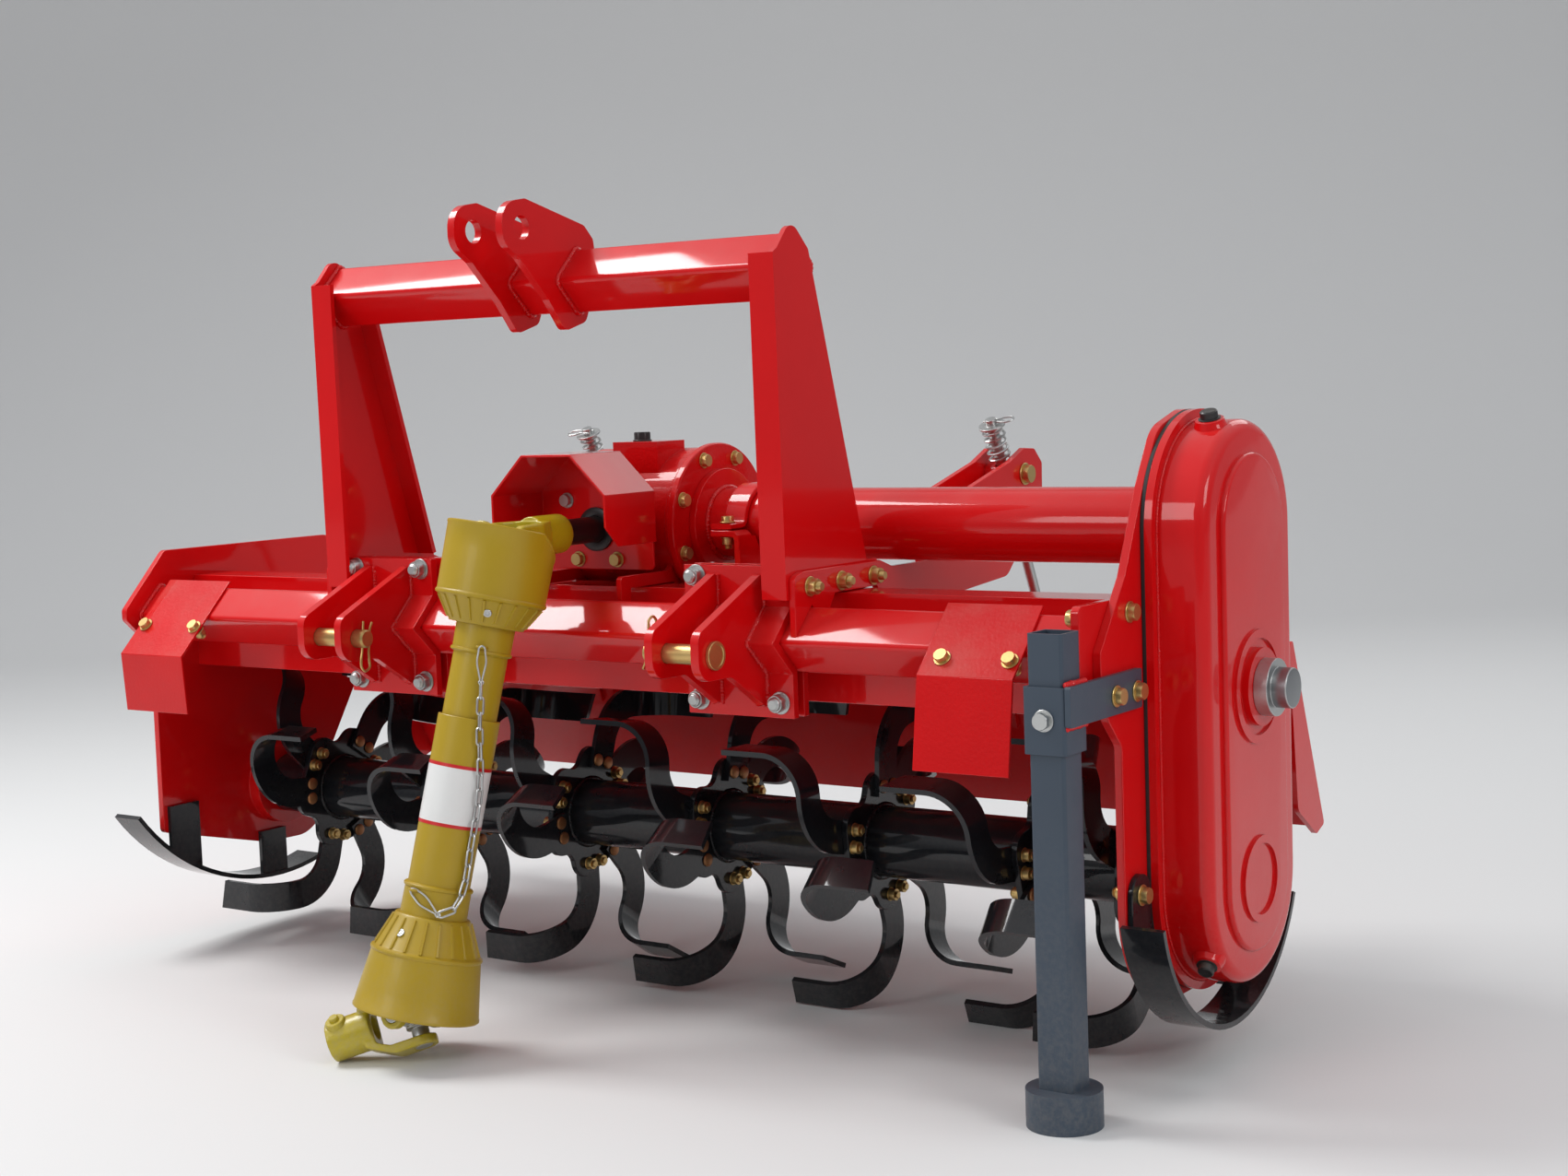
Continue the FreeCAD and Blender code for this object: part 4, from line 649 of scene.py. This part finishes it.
class TILLER_OT_shaft_guards(bpy.types.Operator):
    """Turn the two plastic guards of the drive shaft, with ribbed cones, necks and chain eyes"""
    bl_idname = "tiller.shaft_guards"
    bl_label = "Shaft guards"

    def execute(self, context):
        # guard, joint, direction, mouth's start and radius, waist, taper's end, neck's end, tube's radius and
        # end, mouth's slope, the chain eye's distance and turn, the screw's turn
        for (node, joint, towards, start, wide, waist, taper, neck, radius, end, slope, reach, turn,
             screw_turn) in (
                ("guard_upper", UPPER, SHAFT, -18, 82, 88, 127, 169, 40.0, 560, 0.6, 159, 138, -138.7),
                ("guard_lower", LOWER, -SHAFT, 0, 92, 90, 143, 189, 45.5, 436, 0.0, 180, -180, 176.3)):
            rim = start + 5.5
            outline = [(start, wide - 0.8, 0), (start + 1.2, wide + 0.6, 0), (start + 4, wide + 0.6, 0),
                       (rim, wide - 0.4, 0)]
            outline += [(rim + (waist - 4.5 - rim) * t, wide - 0.4 + (80.6 - wide) * t, 0)
                        for t in (0.35, 0.7, 1.0)]
            outline += [
                (waist - 3, 81.6, 0), (waist - 1, 82.2, 0), (waist + 1.5, 81.4, 0), (waist + 3, 78.5, 0),
                (waist + 4.5, 76.5, 0), (waist + 5, 76.0, 1), (taper - 4, 57.0, 1), (taper - 3.4, 56.6, 0),
                (taper - 1, 55.6, 0), (taper + 0.6, 54, 0), (taper + 1.2, radius + 3.4, 0),
                (neck - 6, radius + 3, 0), (neck - 5, radius + 5, 0), (neck - 2, radius + 5.4, 0),
                (neck, radius + 3.5, 0), (neck + 1, radius, 0), (neck + 40, radius, 0), (end - 1, radius, 0),
                (end, radius - 0.8, 0)]
            turn = math.radians(turn)
            out = np.array([math.cos(turn), math.sin(turn), 0])
            arc = np.linspace(-0.2, math.pi + 0.2, 12)[:, None]
            hoop = 7.5 * (out * np.sin(arc) + np.cross(out, [0, 0, 1]) * np.cos(arc))
            eye = tube(out * (radius + 3) + [0, 0, reach] + hoop, 2.3)
            shell = [moved(shape, joint, towards, PIN) for shape in (ribbed_shell(outline, slope), eye)]
            body = body_of_node(node)
            piece(f"{node}_shell", shell, "yellow_plastic", body, (node,))
            turn = math.radians(screw_turn)
            out = np.array([math.cos(turn), -math.sin(turn), 0])
            screw = gathered([washer(3.2, 6.2, -1.0, 1.0),
                              revolved([(-1, 0), (0.2, 3.4), (0.9, 2.6), (1.0, 0)], 16)])
            screw = moved(screw, out * 66.5 + [0, 0, (waist + taper) / 2 + 2], out + [0, 0, 0.55])
            piece(f"{node}_screw", [moved(screw, joint, towards, PIN)], "zinc", body)
        return {"FINISHED"}


class TILLER_OT_shaft_label(bpy.types.Operator):
    """Wrap the blank label with its two red edges round the outer guard tube"""
    bl_idname = "tiller.shaft_label"
    bl_label = "Shaft label"

    def execute(self, context):
        turn = np.linspace(48, 268, 45)
        ends = np.array([[0, 45, 90, 135], [44, 179, 134, 89]])
        # bands: start and end along the shaft, radius
        for name, material, bands in (
                ("label", "label_white", ((334, 420.5, 46.0),)),
                ("label_edges", "label_red", ((332, 337, 46.15), (418, 423, 46.15)))):
            shapes = []
            for low, high, radius in bands:
                rows = ((low, radius), (high, radius), (high, radius - 0.8), (low, radius - 0.8))
                points, faces = grid(np.array([on_shaft(reach, turn, out) for reach, out in rows]), wrap_u=True)
                shapes.append((points, np.vstack([faces, ends])))
            piece(name, shapes, material, body_of_node("guard_lower"), sharp=50)
        return {"FINISHED"}


class TILLER_OT_chain(bpy.types.Operator):
    """Hang the zinc-plated chain with its two wire hooks between the guards' eyes"""
    bl_idname = "tiller.chain"
    bl_label = "Guard chain"

    def execute(self, context):
        wire = context.scene.tiller_sizes.link_wire * 1000
        pitch = 22.0
        line = smooth_line([on_shaft(*row) for row in (
            (210, 129, 49), (235, 125, 52), (278, 118, 53.5), (322, 108, 54), (360, 100, 54), (397, 97, 54),
            (447, 97, 54), (490, 97, 56), (520, 104, 59), (538, 116, 61), (546, 130, 59))], 160)
        total = reaches(line)[-1]
        count = int(total / pitch)
        reach = (np.arange(count) + 0.5) * total / count
        ways = unit(line_at(line, reach + 2) - line_at(line, reach - 2))
        shapes = []
        for number, (middle, way) in enumerate(zip(line_at(line, reach), ways)):
            out = square_to(middle - UPPER, SHAFT)
            side = np.cross(way, out) if number % 2 else out
            shapes.append(moved(oval_link(total / count, wire), middle, way, side))
        # a hook: its eye end, its chain end and how wide the wire spreads between them
        for first, last, spread in (
                (on_shaft(157, 138, 52), on_shaft(209, 129, 49.5), 6.5),
                (on_shaft(519, 182, 55), on_shaft(547, 132, 58), 7.5)):
            run = last - first
            long = np.linalg.norm(run)
            run = run / long
            out = unit(square_to(square_to((first + last) / 2 - UPPER, SHAFT), run))
            # one side of the wire from end to end: share of the run in 54ths, place across
            side = [(3, 4.0), (9, spread * 0.75), (24, spread), (40, spread * 0.55), (50, 1.6), (54, 3.0)]
            shape = np.array([(0, 0), *side, (58, 0), *[(reach, -across) for reach, across in side[::-1]]])
            points = first + np.outer(shape[:, 0] * (long / 54), run)
            points += np.outer(shape[:, 1], np.cross(out, run))
            points[:2] += 1.2 * out
            points[-2:] -= 1.2 * out
            shapes.append(tube(smooth_line(points, 72, closed=True), 1.5, closed=True))
        thing = built("guard_chain", shapes, "zinc")
        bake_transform(thing)
        return {"FINISHED"}


def round_axis(x, axis, radius, count):
    """Places round an axis along X, the first half a step from straight back."""
    return [(x, axis[0] + radius * math.cos(turn), axis[1] + radius * math.sin(turn))
            for turn in TURN * (np.arange(count) + 0.5) / count]


def bolt_table():
    """Rows of bolts: seats of the heads, the heads' direction, size, grip, nut, finish."""
    rows = []
    for side in (-1, 1):
        seats = [(CLEVIS_OUT * side + across, 19, high) for across in (-70, 70) for high in (-89, 89)]
        rows.append((seats, (0, 1, 0), 16, 38, "lock", "zinc"))
        seats = [(LEG_OUT * side, back, high) for back, high in ((-4, 76), (76, 77), (161, 77))]
        rows.append((seats, (-side, 0, 0), 14, 18, True, "yellow_zinc"))
    bearing = [(897, back, high) for back in (-48, 48) for high in (-48, 48)]
    guards = [(across, back, back + 55.5)
              for across, back in ((706, -64), (808, -64), (-872, -69), (-750, -69))]
    slope = (0, -math.sqrt(0.5), math.sqrt(0.5))
    return rows + [
        (round_axis(122, GEAR_AXIS, 107, 8), (1, 0, 0), 12, 0, False, "yellow_zinc"),
        (round_axis(-121, GEAR_AXIS, 84, 6), (-1, 0, 0), 12, 0, False, "yellow_zinc"),
        ([(929, -4, -56), (929, 56, -57)], (1, 0, 0), 14, 20, True, "yellow_zinc"),
        ([(921, 55, 47)], (1, 0, 0), 14, 12, True, "yellow_zinc"),
        ([(-57, 91, 190.5), (57, 91, 190.5)], (0, -1, 0), 12, 0, False, "zinc"),
        ([(38, 91, 99.4), (-38, 91, 99.4)], (0, -1, 0), 12, 0, False, "yellow_zinc"),
        (bearing, (-1, 0, 0), 14, 0, False, "yellow_zinc"),
        (round_axis(-924, ROTOR_AXIS, 88, 6), (-1, 0, 0), 12, 0, False, "yellow_zinc"),
        ([(929.2, 57, -329)], (1, 0, 0), 14, 20.5, True, "yellow_zinc"),
        ([(193, 169, 151.5), (193, 331, 151.5)], (0, 0, 1), 12, 21.5, True, "yellow_zinc"),
        ([(891, -131, -72)], (0, -1, 0), 14, 60, True, "zinc"),
        (guards, slope, 12, 6.5, True, "yellow_zinc")]


class TILLER_OT_bolts(bpy.types.Operator):
    """Set the bolts, washers and nuts"""
    bl_idname = "tiller.bolts"
    bl_label = "Bolts"

    def execute(self, context):
        shapes = {"zinc": [], "yellow_zinc": []}
        for seats, way, size, grip, nut, name in bolt_table():
            shapes[name] += [moved(bolt(size, grip, nut), seat, way) for seat in seats]
        piece("bolts_zinc_frame", shapes["zinc"], "zinc", "frame")
        piece("bolts_yellow_zinc_frame", shapes["yellow_zinc"], "yellow_zinc", "frame")
        return {"FINISHED"}


def wire_clip(pin, wire, reach):
    """A wire clip in the XZ plane round a pin along Y: one leg through the pin, the other round it, a loop."""
    hug = pin + wire / 2 + 0.3
    line = [(0, -reach), (0, -reach * 0.5), (0, 0), (0, reach * 0.7), (-1.5, reach + 5), (0.5, reach + 17),
            (9, reach + 23), (17.5, reach + 16), (15.5, reach + 4), (hug * 0.86, reach * 0.62), (hug, 0),
            (hug * 0.88, -reach * 0.5), (hug * 1.12, -reach * 0.95)]
    return tube(smooth_line([(x, 0, z) for x, z in line], 90), wire / 2)


class TILLER_OT_pins(bpy.types.Operator):
    """Put the wire clips through the hitch pins and spring rods, and the washers and nuts on the swivels"""
    bl_idname = "tiller.pins"
    bl_label = "Pin clips"

    def execute(self, context):
        pin = revolved([
            (-69, 0), (-69, 11.5), (-66.5, 14), (47, 14), (47, 19.2), (47.8, 20), (52.2, 20), (53, 19.2),
            (53, 16), (51.6, 15.2), (51.6, 0)], 40)
        pins, clips = [], []
        # side of the machine and the clip's lean from upright in degrees
        for side, lean in ((-1, 187), (1, 14)):
            up = np.array([0, math.sin(math.radians(lean)), math.cos(math.radians(lean))])
            pins.append(moved(pin, (CLEVIS_OUT * side, -142, -8), (side, 0, 0)))
            clips.append(moved(wire_clip(14, 4.0, 27), (283 * side, -142, -8), up, np.cross((1, 0, 0), up)))
        piece("hitch_pin_shanks", pins, "yellow_zinc", "frame", ("hitch_pins",))
        piece("hitch_clips", clips, "yellow_zinc", "frame")
        boss = revolved([(-6, 0), (-6, 17), (3, 15.5), (6.6, 14.6), (7.6, 13.4), (7.6, 7.4), (12.2, 7.2),
                         (13.4, 6.2), (13.6, 0)], 32)
        button = moved(boss, (-158.2, -358.5, -541.8), (-0.033, -0.442, 0.896))
        piece("yoke_button", [button], "gold_casting", "shaft_end")
        rod = unit((0, -138, 299))
        nut = gathered([washer(9.8, 18, 0.3, 2.6), hexagon(27, 2.6, 13, 1.2)])
        for side, word in ((-1, "left"), (1, "right")):
            outward = (side, 0, 0)
            swivel = np.array([ROD_OUT * side, 625, 200])
            clip = moved(wire_clip(9, 3.2, 14), swivel + rod * 94.5, outward, np.cross(rod, outward))
            piece(f"rod_clip_{word}", [clip], "zinc", f"rod_{word}")
            ends = [moved(nut, swivel + [37.5 * out, 0, 0], (out, 0, 0)) for out in (-1, 1)]
            piece(f"swivel_nuts_{word}", ends, "yellow_zinc", f"swivel_{word}")
        return {"FINISHED"}


class TILLER_OT_rotor_bolts(bpy.types.Operator):
    """Bolt each tine to its flange with two bolts: round heads on the tine, nuts on the flange"""
    bl_idname = "tiller.rotor_bolts"
    bl_label = "Rotor bolts"

    def execute(self, context):
        head = revolved([(0, 0), (0, 10.2), (1.4, 10.6), (3.6, 9.6), (5.0, 6.6), (5.4, 0)], 16)
        nut = gathered([washer(6, 10.6, 0, 1.8), hexagon(18, 1.8, 11.5, 0.9, 12),
                        revolved([(6, 0), (14.4, 6), (15.4, 5), (15.4, 0)], 12)])
        heads, nuts = [], []
        for x, first_tine, sides in FLANGES:
            for side in sides:
                for turn in np.radians(first_tine + 20 * side + np.array([0, 120, 240])):
                    out = np.array([0, -math.sin(turn), math.cos(turn)])
                    beside = np.array([0, math.cos(turn), math.sin(turn)])
                    for shift in (-13, 13):
                        seat = np.array([x, *ROTOR_AXIS]) + out * 85 + beside * shift
                        heads.append(moved(head, seat + [13 * side, 0, 0], (side, 0, 0)))
                        nuts.append(moved(nut, seat - [5 * side, 0, 0], (-side, 0, 0), out))
        piece("tine_bolt_heads", heads, "bronzed", "rotor")
        piece("tine_nuts", nuts, "yellow_zinc", "rotor")
        return {"FINISHED"}


class TILLER_OT_tube_clamp(bpy.types.Operator):
    """Strap the cross tube to its bracket on the deck"""
    bl_idname = "tiller.tube_clamp"
    bl_label = "Tube clamp"

    def execute(self, context):
        middle, axis_high = GEAR_AXIS
        arc = np.radians(np.linspace(168, 12, 25))
        # the strap from its front foot over the tube to its rear foot: back and height
        rows = [(151, 147), (166, 147), (180, 147), (186, 148.2), (190.2, 152),
                *zip(middle + 59 * np.cos(arc), axis_high + 59 * np.sin(arc)),
                (309.8, 152), (314, 148.2), (320, 147), (334, 147), (349, 147)]
        shapes = [carried([(193, back, high) for back, high in rows], oblong(38, 8), (1, 0, 0))]
        # the bracket's two folded feet: across and height
        fold = [(173, 136), (190, 136), (207, 136), (215, 135), (219.5, 131), (221, 124), (221, 112)]
        for back in (169, 331):
            shapes.append(carried([(across, back, high) for across, high in fold], oblong(36, 10), (0, 1, 0)))
        # the bracket's plate, from the deck up to a round cut under the tube
        back = np.linspace(152, 348, 57)
        deck_top = np.interp(back, [150, 174, 345, 528], [61.5, -17, -17, -35])
        round_cut = axis_high - np.sqrt(np.maximum(57.0 ** 2 - (back - middle) ** 2, 0))
        top = np.minimum(np.where(np.abs(back - middle) < 57, round_cut, 131), 131)
        points = np.empty((len(back), 4, 3))
        points[:, :, 0] = (216, 226, 226, 216)
        points[:, :, 1] = back[:, None]
        points[:, :2, 2] = deck_top[:, None]
        points[:, 2:, 2] = top[:, None]
        ends = [(221, back[i], (deck_top[i] + top[i]) / 2) for i in (0, -1)]
        shapes.append(with_ends(*grid(points, wrap_v=True), *ends, 4))
        piece("tube_clamp", shapes, "red_paint", "frame")
        return {"FINISHED"}


class TILLER_OT_skid_lug(bpy.types.Operator):
    """Bolt the right skid's front lug to the side plate, and darken the idler's cap"""
    bl_idname = "tiller.skid_lug"
    bl_label = "Skid lug"

    def execute(self, context):
        x, middle, half = 925.2, 57, 28
        # rows up the lug: height and the share of its half width, a half round at the top
        rise = np.linspace(0, math.pi / 2 - 0.05, 12)
        high = np.concatenate([[-428, -405, -370], -329 + half * np.sin(rise)])
        share = np.concatenate([[0.2, 1, 1], np.cos(rise)])
        section = np.array(oblong(2 * half, 7.6))
        points = np.empty((len(high), len(section), 3))
        points[..., 0] = x + section[:, 1]
        points[..., 1] = middle + section[:, 0] * share[:, None]
        points[..., 2] = high[:, None]
        points[0, :, 1] += half / 2
        ends = (x, middle + half / 2, -428), (x, middle, -300.9)
        lug = with_ends(*grid(points, wrap_v=True), *ends, len(section))
        piece("skid_lug", [lug], "black_paint", "frame")
        cap = revolved([(23.1, 27.3), (24, 27.7), (43.4, 27.7), (45.2, 26.2), (45.6, 24), (45.6, 0)], 48)
        cap = moved(cap, (1021, 250, -72), (1, 0, 0))
        piece("idler_cap_face", [cap], "dark_steel", "frame")
        return {"FINISHED"}


def plug(radius, high):
    """A round plug on a washer: a profile turned about Z."""
    return revolved([(0, 0), (0, radius + 3), (1.2, radius + 3.2), (1.6, radius), (high - 1.5, radius),
                     (high, radius - 1.6), (high - 0.6, radius - 4), (high - 0.6, 0)], 28)


class TILLER_OT_gearbox_details(bpy.types.Operator):
    """Set the gearbox's joint ring, gaskets, breather, plug and seal, and the side drive's plugs"""
    bl_idname = "tiller.gearbox_details"
    bl_label = "Gearbox details"

    def execute(self, context):
        def ring(outer, start, end):
            """A ring round the gearbox's cross axis."""
            return moved(washer(112, outer, start, end), (0, *GEAR_AXIS), (1, 0, 0))

        piece("joint_ring", [ring(121.5, 101.8, 106.2)], "red_casting", "frame")
        gaskets = [ring(119.6, 100.2, 101.8), ring(119.6, 106.2, 108)]
        piece("joint_gaskets", gaskets, "gasket", "frame")
        seal = revolved([(-3, 20.3), (5, 20.3), (6, 22), (6, 31), (4.6, 34), (-1, 34), (-3, 20.3)], 32)
        breather = gathered([washer(8, 15, 0, 2), hexagon(24, 2, 14, 1.5), plug(8, 6)])
        drain = gathered([washer(8, 14, 0, 2), hexagon(22, 2, 13, 1.5)])
        shapes = [moved(seal, (0, 91, 146), (0, -1, 0)), moved(breather, (2, 210, 277)),
                  moved(drain, (-49, 175, 45.6), (0, -1, 0))]
        bosses = []
        # the side drive's filler at the top and drain at the bottom: seat, direction, radius
        for seat, out, radius in (
                ((972, 206.5, 284.5), (0, -0.30, 0.954), 14), ((984, 140.5, -430.5), (0.12, -0.76, -0.64), 13)):
            boss = revolved([(-12, 0), (-12, radius + 11), (1, radius + 8), (4, radius + 6.4),
                             (8, radius + 5.6), (8.6, radius + 4.6), (8.6, 0)], 32)
            bosses.append(moved(boss, seat, out))
            shapes.append(moved(plug(radius - 2, 12), np.array(seat) + np.array(out) * 8.6, out))
        piece("drive_bosses", bosses, "red_paint", "frame")
        piece("plugs", shapes, "black_plastic", "frame")
        return {"FINISHED"}


def ring_line(x, axis, radius, count=72):
    """A closed ring of points about an axis along X."""
    ring = turned(radius, np.linspace(0, TURN, count + 1), 0)
    return ring @ turned_to((1, 0, 0)) + np.array([x, *axis], float)


def diamond_line(across, axis=MAST_BAR, grow=1.0):
    """Round a square tube on its edge: four quarter bends of 8 mm, 38.2 mm out from the tube's axis."""
    turn = np.radians(np.arange(-45, 406, 11.25))
    corner = np.round(turn / (math.pi / 2)) * math.pi / 2
    reach = 8 + grow
    return np.stack([0 * turn + across, axis[0] + 38.2 * np.cos(corner) + reach * np.cos(turn),
                     axis[1] + 38.2 * np.sin(corner) + reach * np.sin(turn)], -1)


class TILLER_OT_welds(bpy.types.Operator):
    """Run weld beads where plates and tubes meet"""
    bl_idname = "tiller.welds"
    bl_label = "Weld beads"

    def execute(self, context):
        radius = context.scene.tiller_sizes.weld * 1000
        lines = []
        for side in (-1, 1):
            lines += [diamond_line(x * side) for x in (439, 39.2, 53.8)]
            for ear in (-40, 40):
                for face in (-7.5, 7.5):
                    x = CLEVIS_OUT * side + ear + face
                    lines.append([(x, -19, 93), (x, -19, 46), (x, -66, 0), (x, -19, -46), (x, -19, -96)])
        lines.append(diamond_line(-910.5, (0, 0)))
        lines += [ring_line(x, GEAR_AXIS, TUBE_SEAM) for x in (907.5, 135)]
        lines += [[(921, -128, high), (921, -75, high)] for high in (-81, -27)]
        shapes = [bead(line, radius, seed=number) for number, line in enumerate(lines)]
        # the side drive's seam: a half circle about its upper axis, then one about the rotor's
        turn = np.linspace(0, math.pi, 40)
        seam = [(938.5, back + way * 146 * math.cos(t), high - way * 146 * math.sin(t))
                for (back, high), way in ((GEAR_AXIS, -1), (ROTOR_AXIS, 1)) for t in turn]
        shapes.append(bead([*seam, seam[0]], radius * 0.55, 0.25, seed=99))
        piece("weld_beads", shapes, "red_paint", "frame", sharp=80)
        rings = [bead(ring_line(x, ROTOR_AXIS, TUBE_SEAM, 60), radius * 0.9, seed=int(x) + 2000)
                 for flange, *_ in FLANGES for x in (flange - 5.5, flange + 5.5)]
        piece("rotor_beads", rings, "black_paint", "rotor", sharp=80)
        return {"FINISHED"}


class TILLER_OT_stage(bpy.types.Operator):
    """Set the floor, the lights and the camera"""
    bl_idname = "tiller.stage"
    bl_label = "Stage"

    def execute(self, context):
        scene = context.scene
        scene.view_settings.view_transform = "Standard"
        self.floor(scene)
        self.lights(scene)
        self.camera(scene)
        return {"FINISHED"}

    def floor(self, scene):
        """A floor that bends up into a backdrop, a run of (back, height), turned square to the camera."""
        near, bend_start, bend, top, half = -9.0, 5.0, 2.5, 9.0, 12.0
        turn = np.linspace(0, math.pi / 2, 25)
        run = np.array([(near, 0), *zip(bend_start + bend * np.sin(turn), bend - bend * np.cos(turn)),
                        (bend_start + bend, top)])
        points = np.empty((2, len(run), 3))
        points[..., 0] = [[-half], [half]]
        points[..., 1:] = run
        points, faces = grid(points)
        mesh = bpy.data.meshes.new("floor")
        mesh.from_pydata(points.tolist(), [], faces.tolist())
        mesh.polygons.foreach_set("use_smooth", np.ones(len(mesh.polygons), bool))
        material = bpy.data.materials.new("floor")
        material.use_nodes = True
        shader = material.node_tree.nodes["Principled BSDF"]
        shader.inputs["Base Color"].default_value = (*scene.tiller_colours.floor, 1.0)
        shader.inputs["Roughness"].default_value = 0.75
        mesh.materials.append(material)
        thing = bpy.data.objects.new("floor", mesh)
        scene.collection.objects.link(thing)
        thing.rotation_euler[2] = math.radians(34.86)

    def lights(self, scene):
        """A sky that brightens from the horizon up, and four square lamps that look at the machine."""
        world = bpy.data.worlds.new("room")
        world.use_nodes = True
        tree = world.node_tree
        where = add(tree, "ShaderNodeTexCoord").outputs["Generated"]
        high = add(tree, "ShaderNodeSeparateXYZ", {0: where}).outputs["Z"]
        sky = mixed(tree, smooth_step(tree, high, 0.0, 0.8), (0.34, 0.35, 0.37, 1), (1.05, 1.07, 1.12, 1))
        background = tree.nodes["Background"]
        tree.links.new(sky, background.inputs["Color"])
        background.inputs["Strength"].default_value = 0.64
        scene.world = world
        aim = Vector((0, 0, 0.5))
        # place and size in metres, power in watts
        for name, where, size, power in (
                ("key", (-2.5, -0.9, 3.8), 1.6, 118.0),
                ("front", (-1.0, -4.2, 2.2), 1.4, 30.0),
                ("side", (4.2, -1.0, 2.4), 1.4, 36.0),
                ("back", (0.8, 4.2, 3.4), 2.0, 22.0)):
            lamp = bpy.data.lights.new(name, "AREA")
            lamp.size = size
            lamp.energy = power
            thing = bpy.data.objects.new(name, lamp)
            thing.location = where
            thing.rotation_mode = "QUATERNION"
            thing.rotation_quaternion = (aim - Vector(where)).to_track_quat("-Z", "Y")
            scene.collection.objects.link(thing)

    def camera(self, scene):
        """The camera worked out from the photograph: its place and its right, up and forward directions."""
        data = bpy.data.cameras.new("camera")
        data.lens = 52.65
        data.sensor_width = 36.0
        thing = bpy.data.objects.new("camera", data)
        right = Vector((0.82179, 0.56863, -0.03559))
        up = Vector((-0.02195, 0.09399, 0.99535))
        forward = Vector((-0.56929, 0.81723, -0.08976))
        matrix = Matrix((right, up, -forward)).transposed().to_4x4()
        matrix.translation = Vector(place((2255.76, -2648.28, 363.02)))
        thing.matrix_world = matrix
        scene.collection.objects.link(thing)
        scene.camera = thing


STEPS = (
    TILLER_OT_finishes, TILLER_OT_frame_finish, TILLER_OT_shaft_guards, TILLER_OT_shaft_label,
    TILLER_OT_chain, TILLER_OT_bolts, TILLER_OT_pins, TILLER_OT_rotor_bolts, TILLER_OT_tube_clamp,
    TILLER_OT_skid_lug, TILLER_OT_gearbox_details, TILLER_OT_welds, TILLER_OT_stage)


class TILLER_PT_panel(bpy.types.Panel):
    """The steps that dress the tiller"""
    bl_idname = "TILLER_PT_panel"
    bl_label = "Rotary tiller"
    bl_space_type = "VIEW_3D"
    bl_region_type = "UI"
    bl_category = "Tiller"

    def draw(self, context):
        for settings in (context.scene.tiller_sizes, context.scene.tiller_colours):
            box = self.layout.box()
            for name in settings.__annotations__:
                box.prop(settings, name)
        for step in STEPS:
            self.layout.operator(step.bl_idname)


CLASSES = (TillerSizes, TillerColours, *STEPS, TILLER_PT_panel)


def register():
    for kind in CLASSES:
        bpy.utils.register_class(kind)
    bpy.types.Scene.tiller_sizes = bpy.props.PointerProperty(type=TillerSizes)
    bpy.types.Scene.tiller_colours = bpy.props.PointerProperty(type=TillerColours)


def unregister():
    del bpy.types.Scene.tiller_colours
    del bpy.types.Scene.tiller_sizes
    for kind in reversed(CLASSES):
        bpy.utils.unregister_class(kind)


def main():
    register()
    for step in STEPS:
        family, name = step.bl_idname.split(".")
        getattr(getattr(bpy.ops, family), name)()


if __name__ == "__main__":
    main()
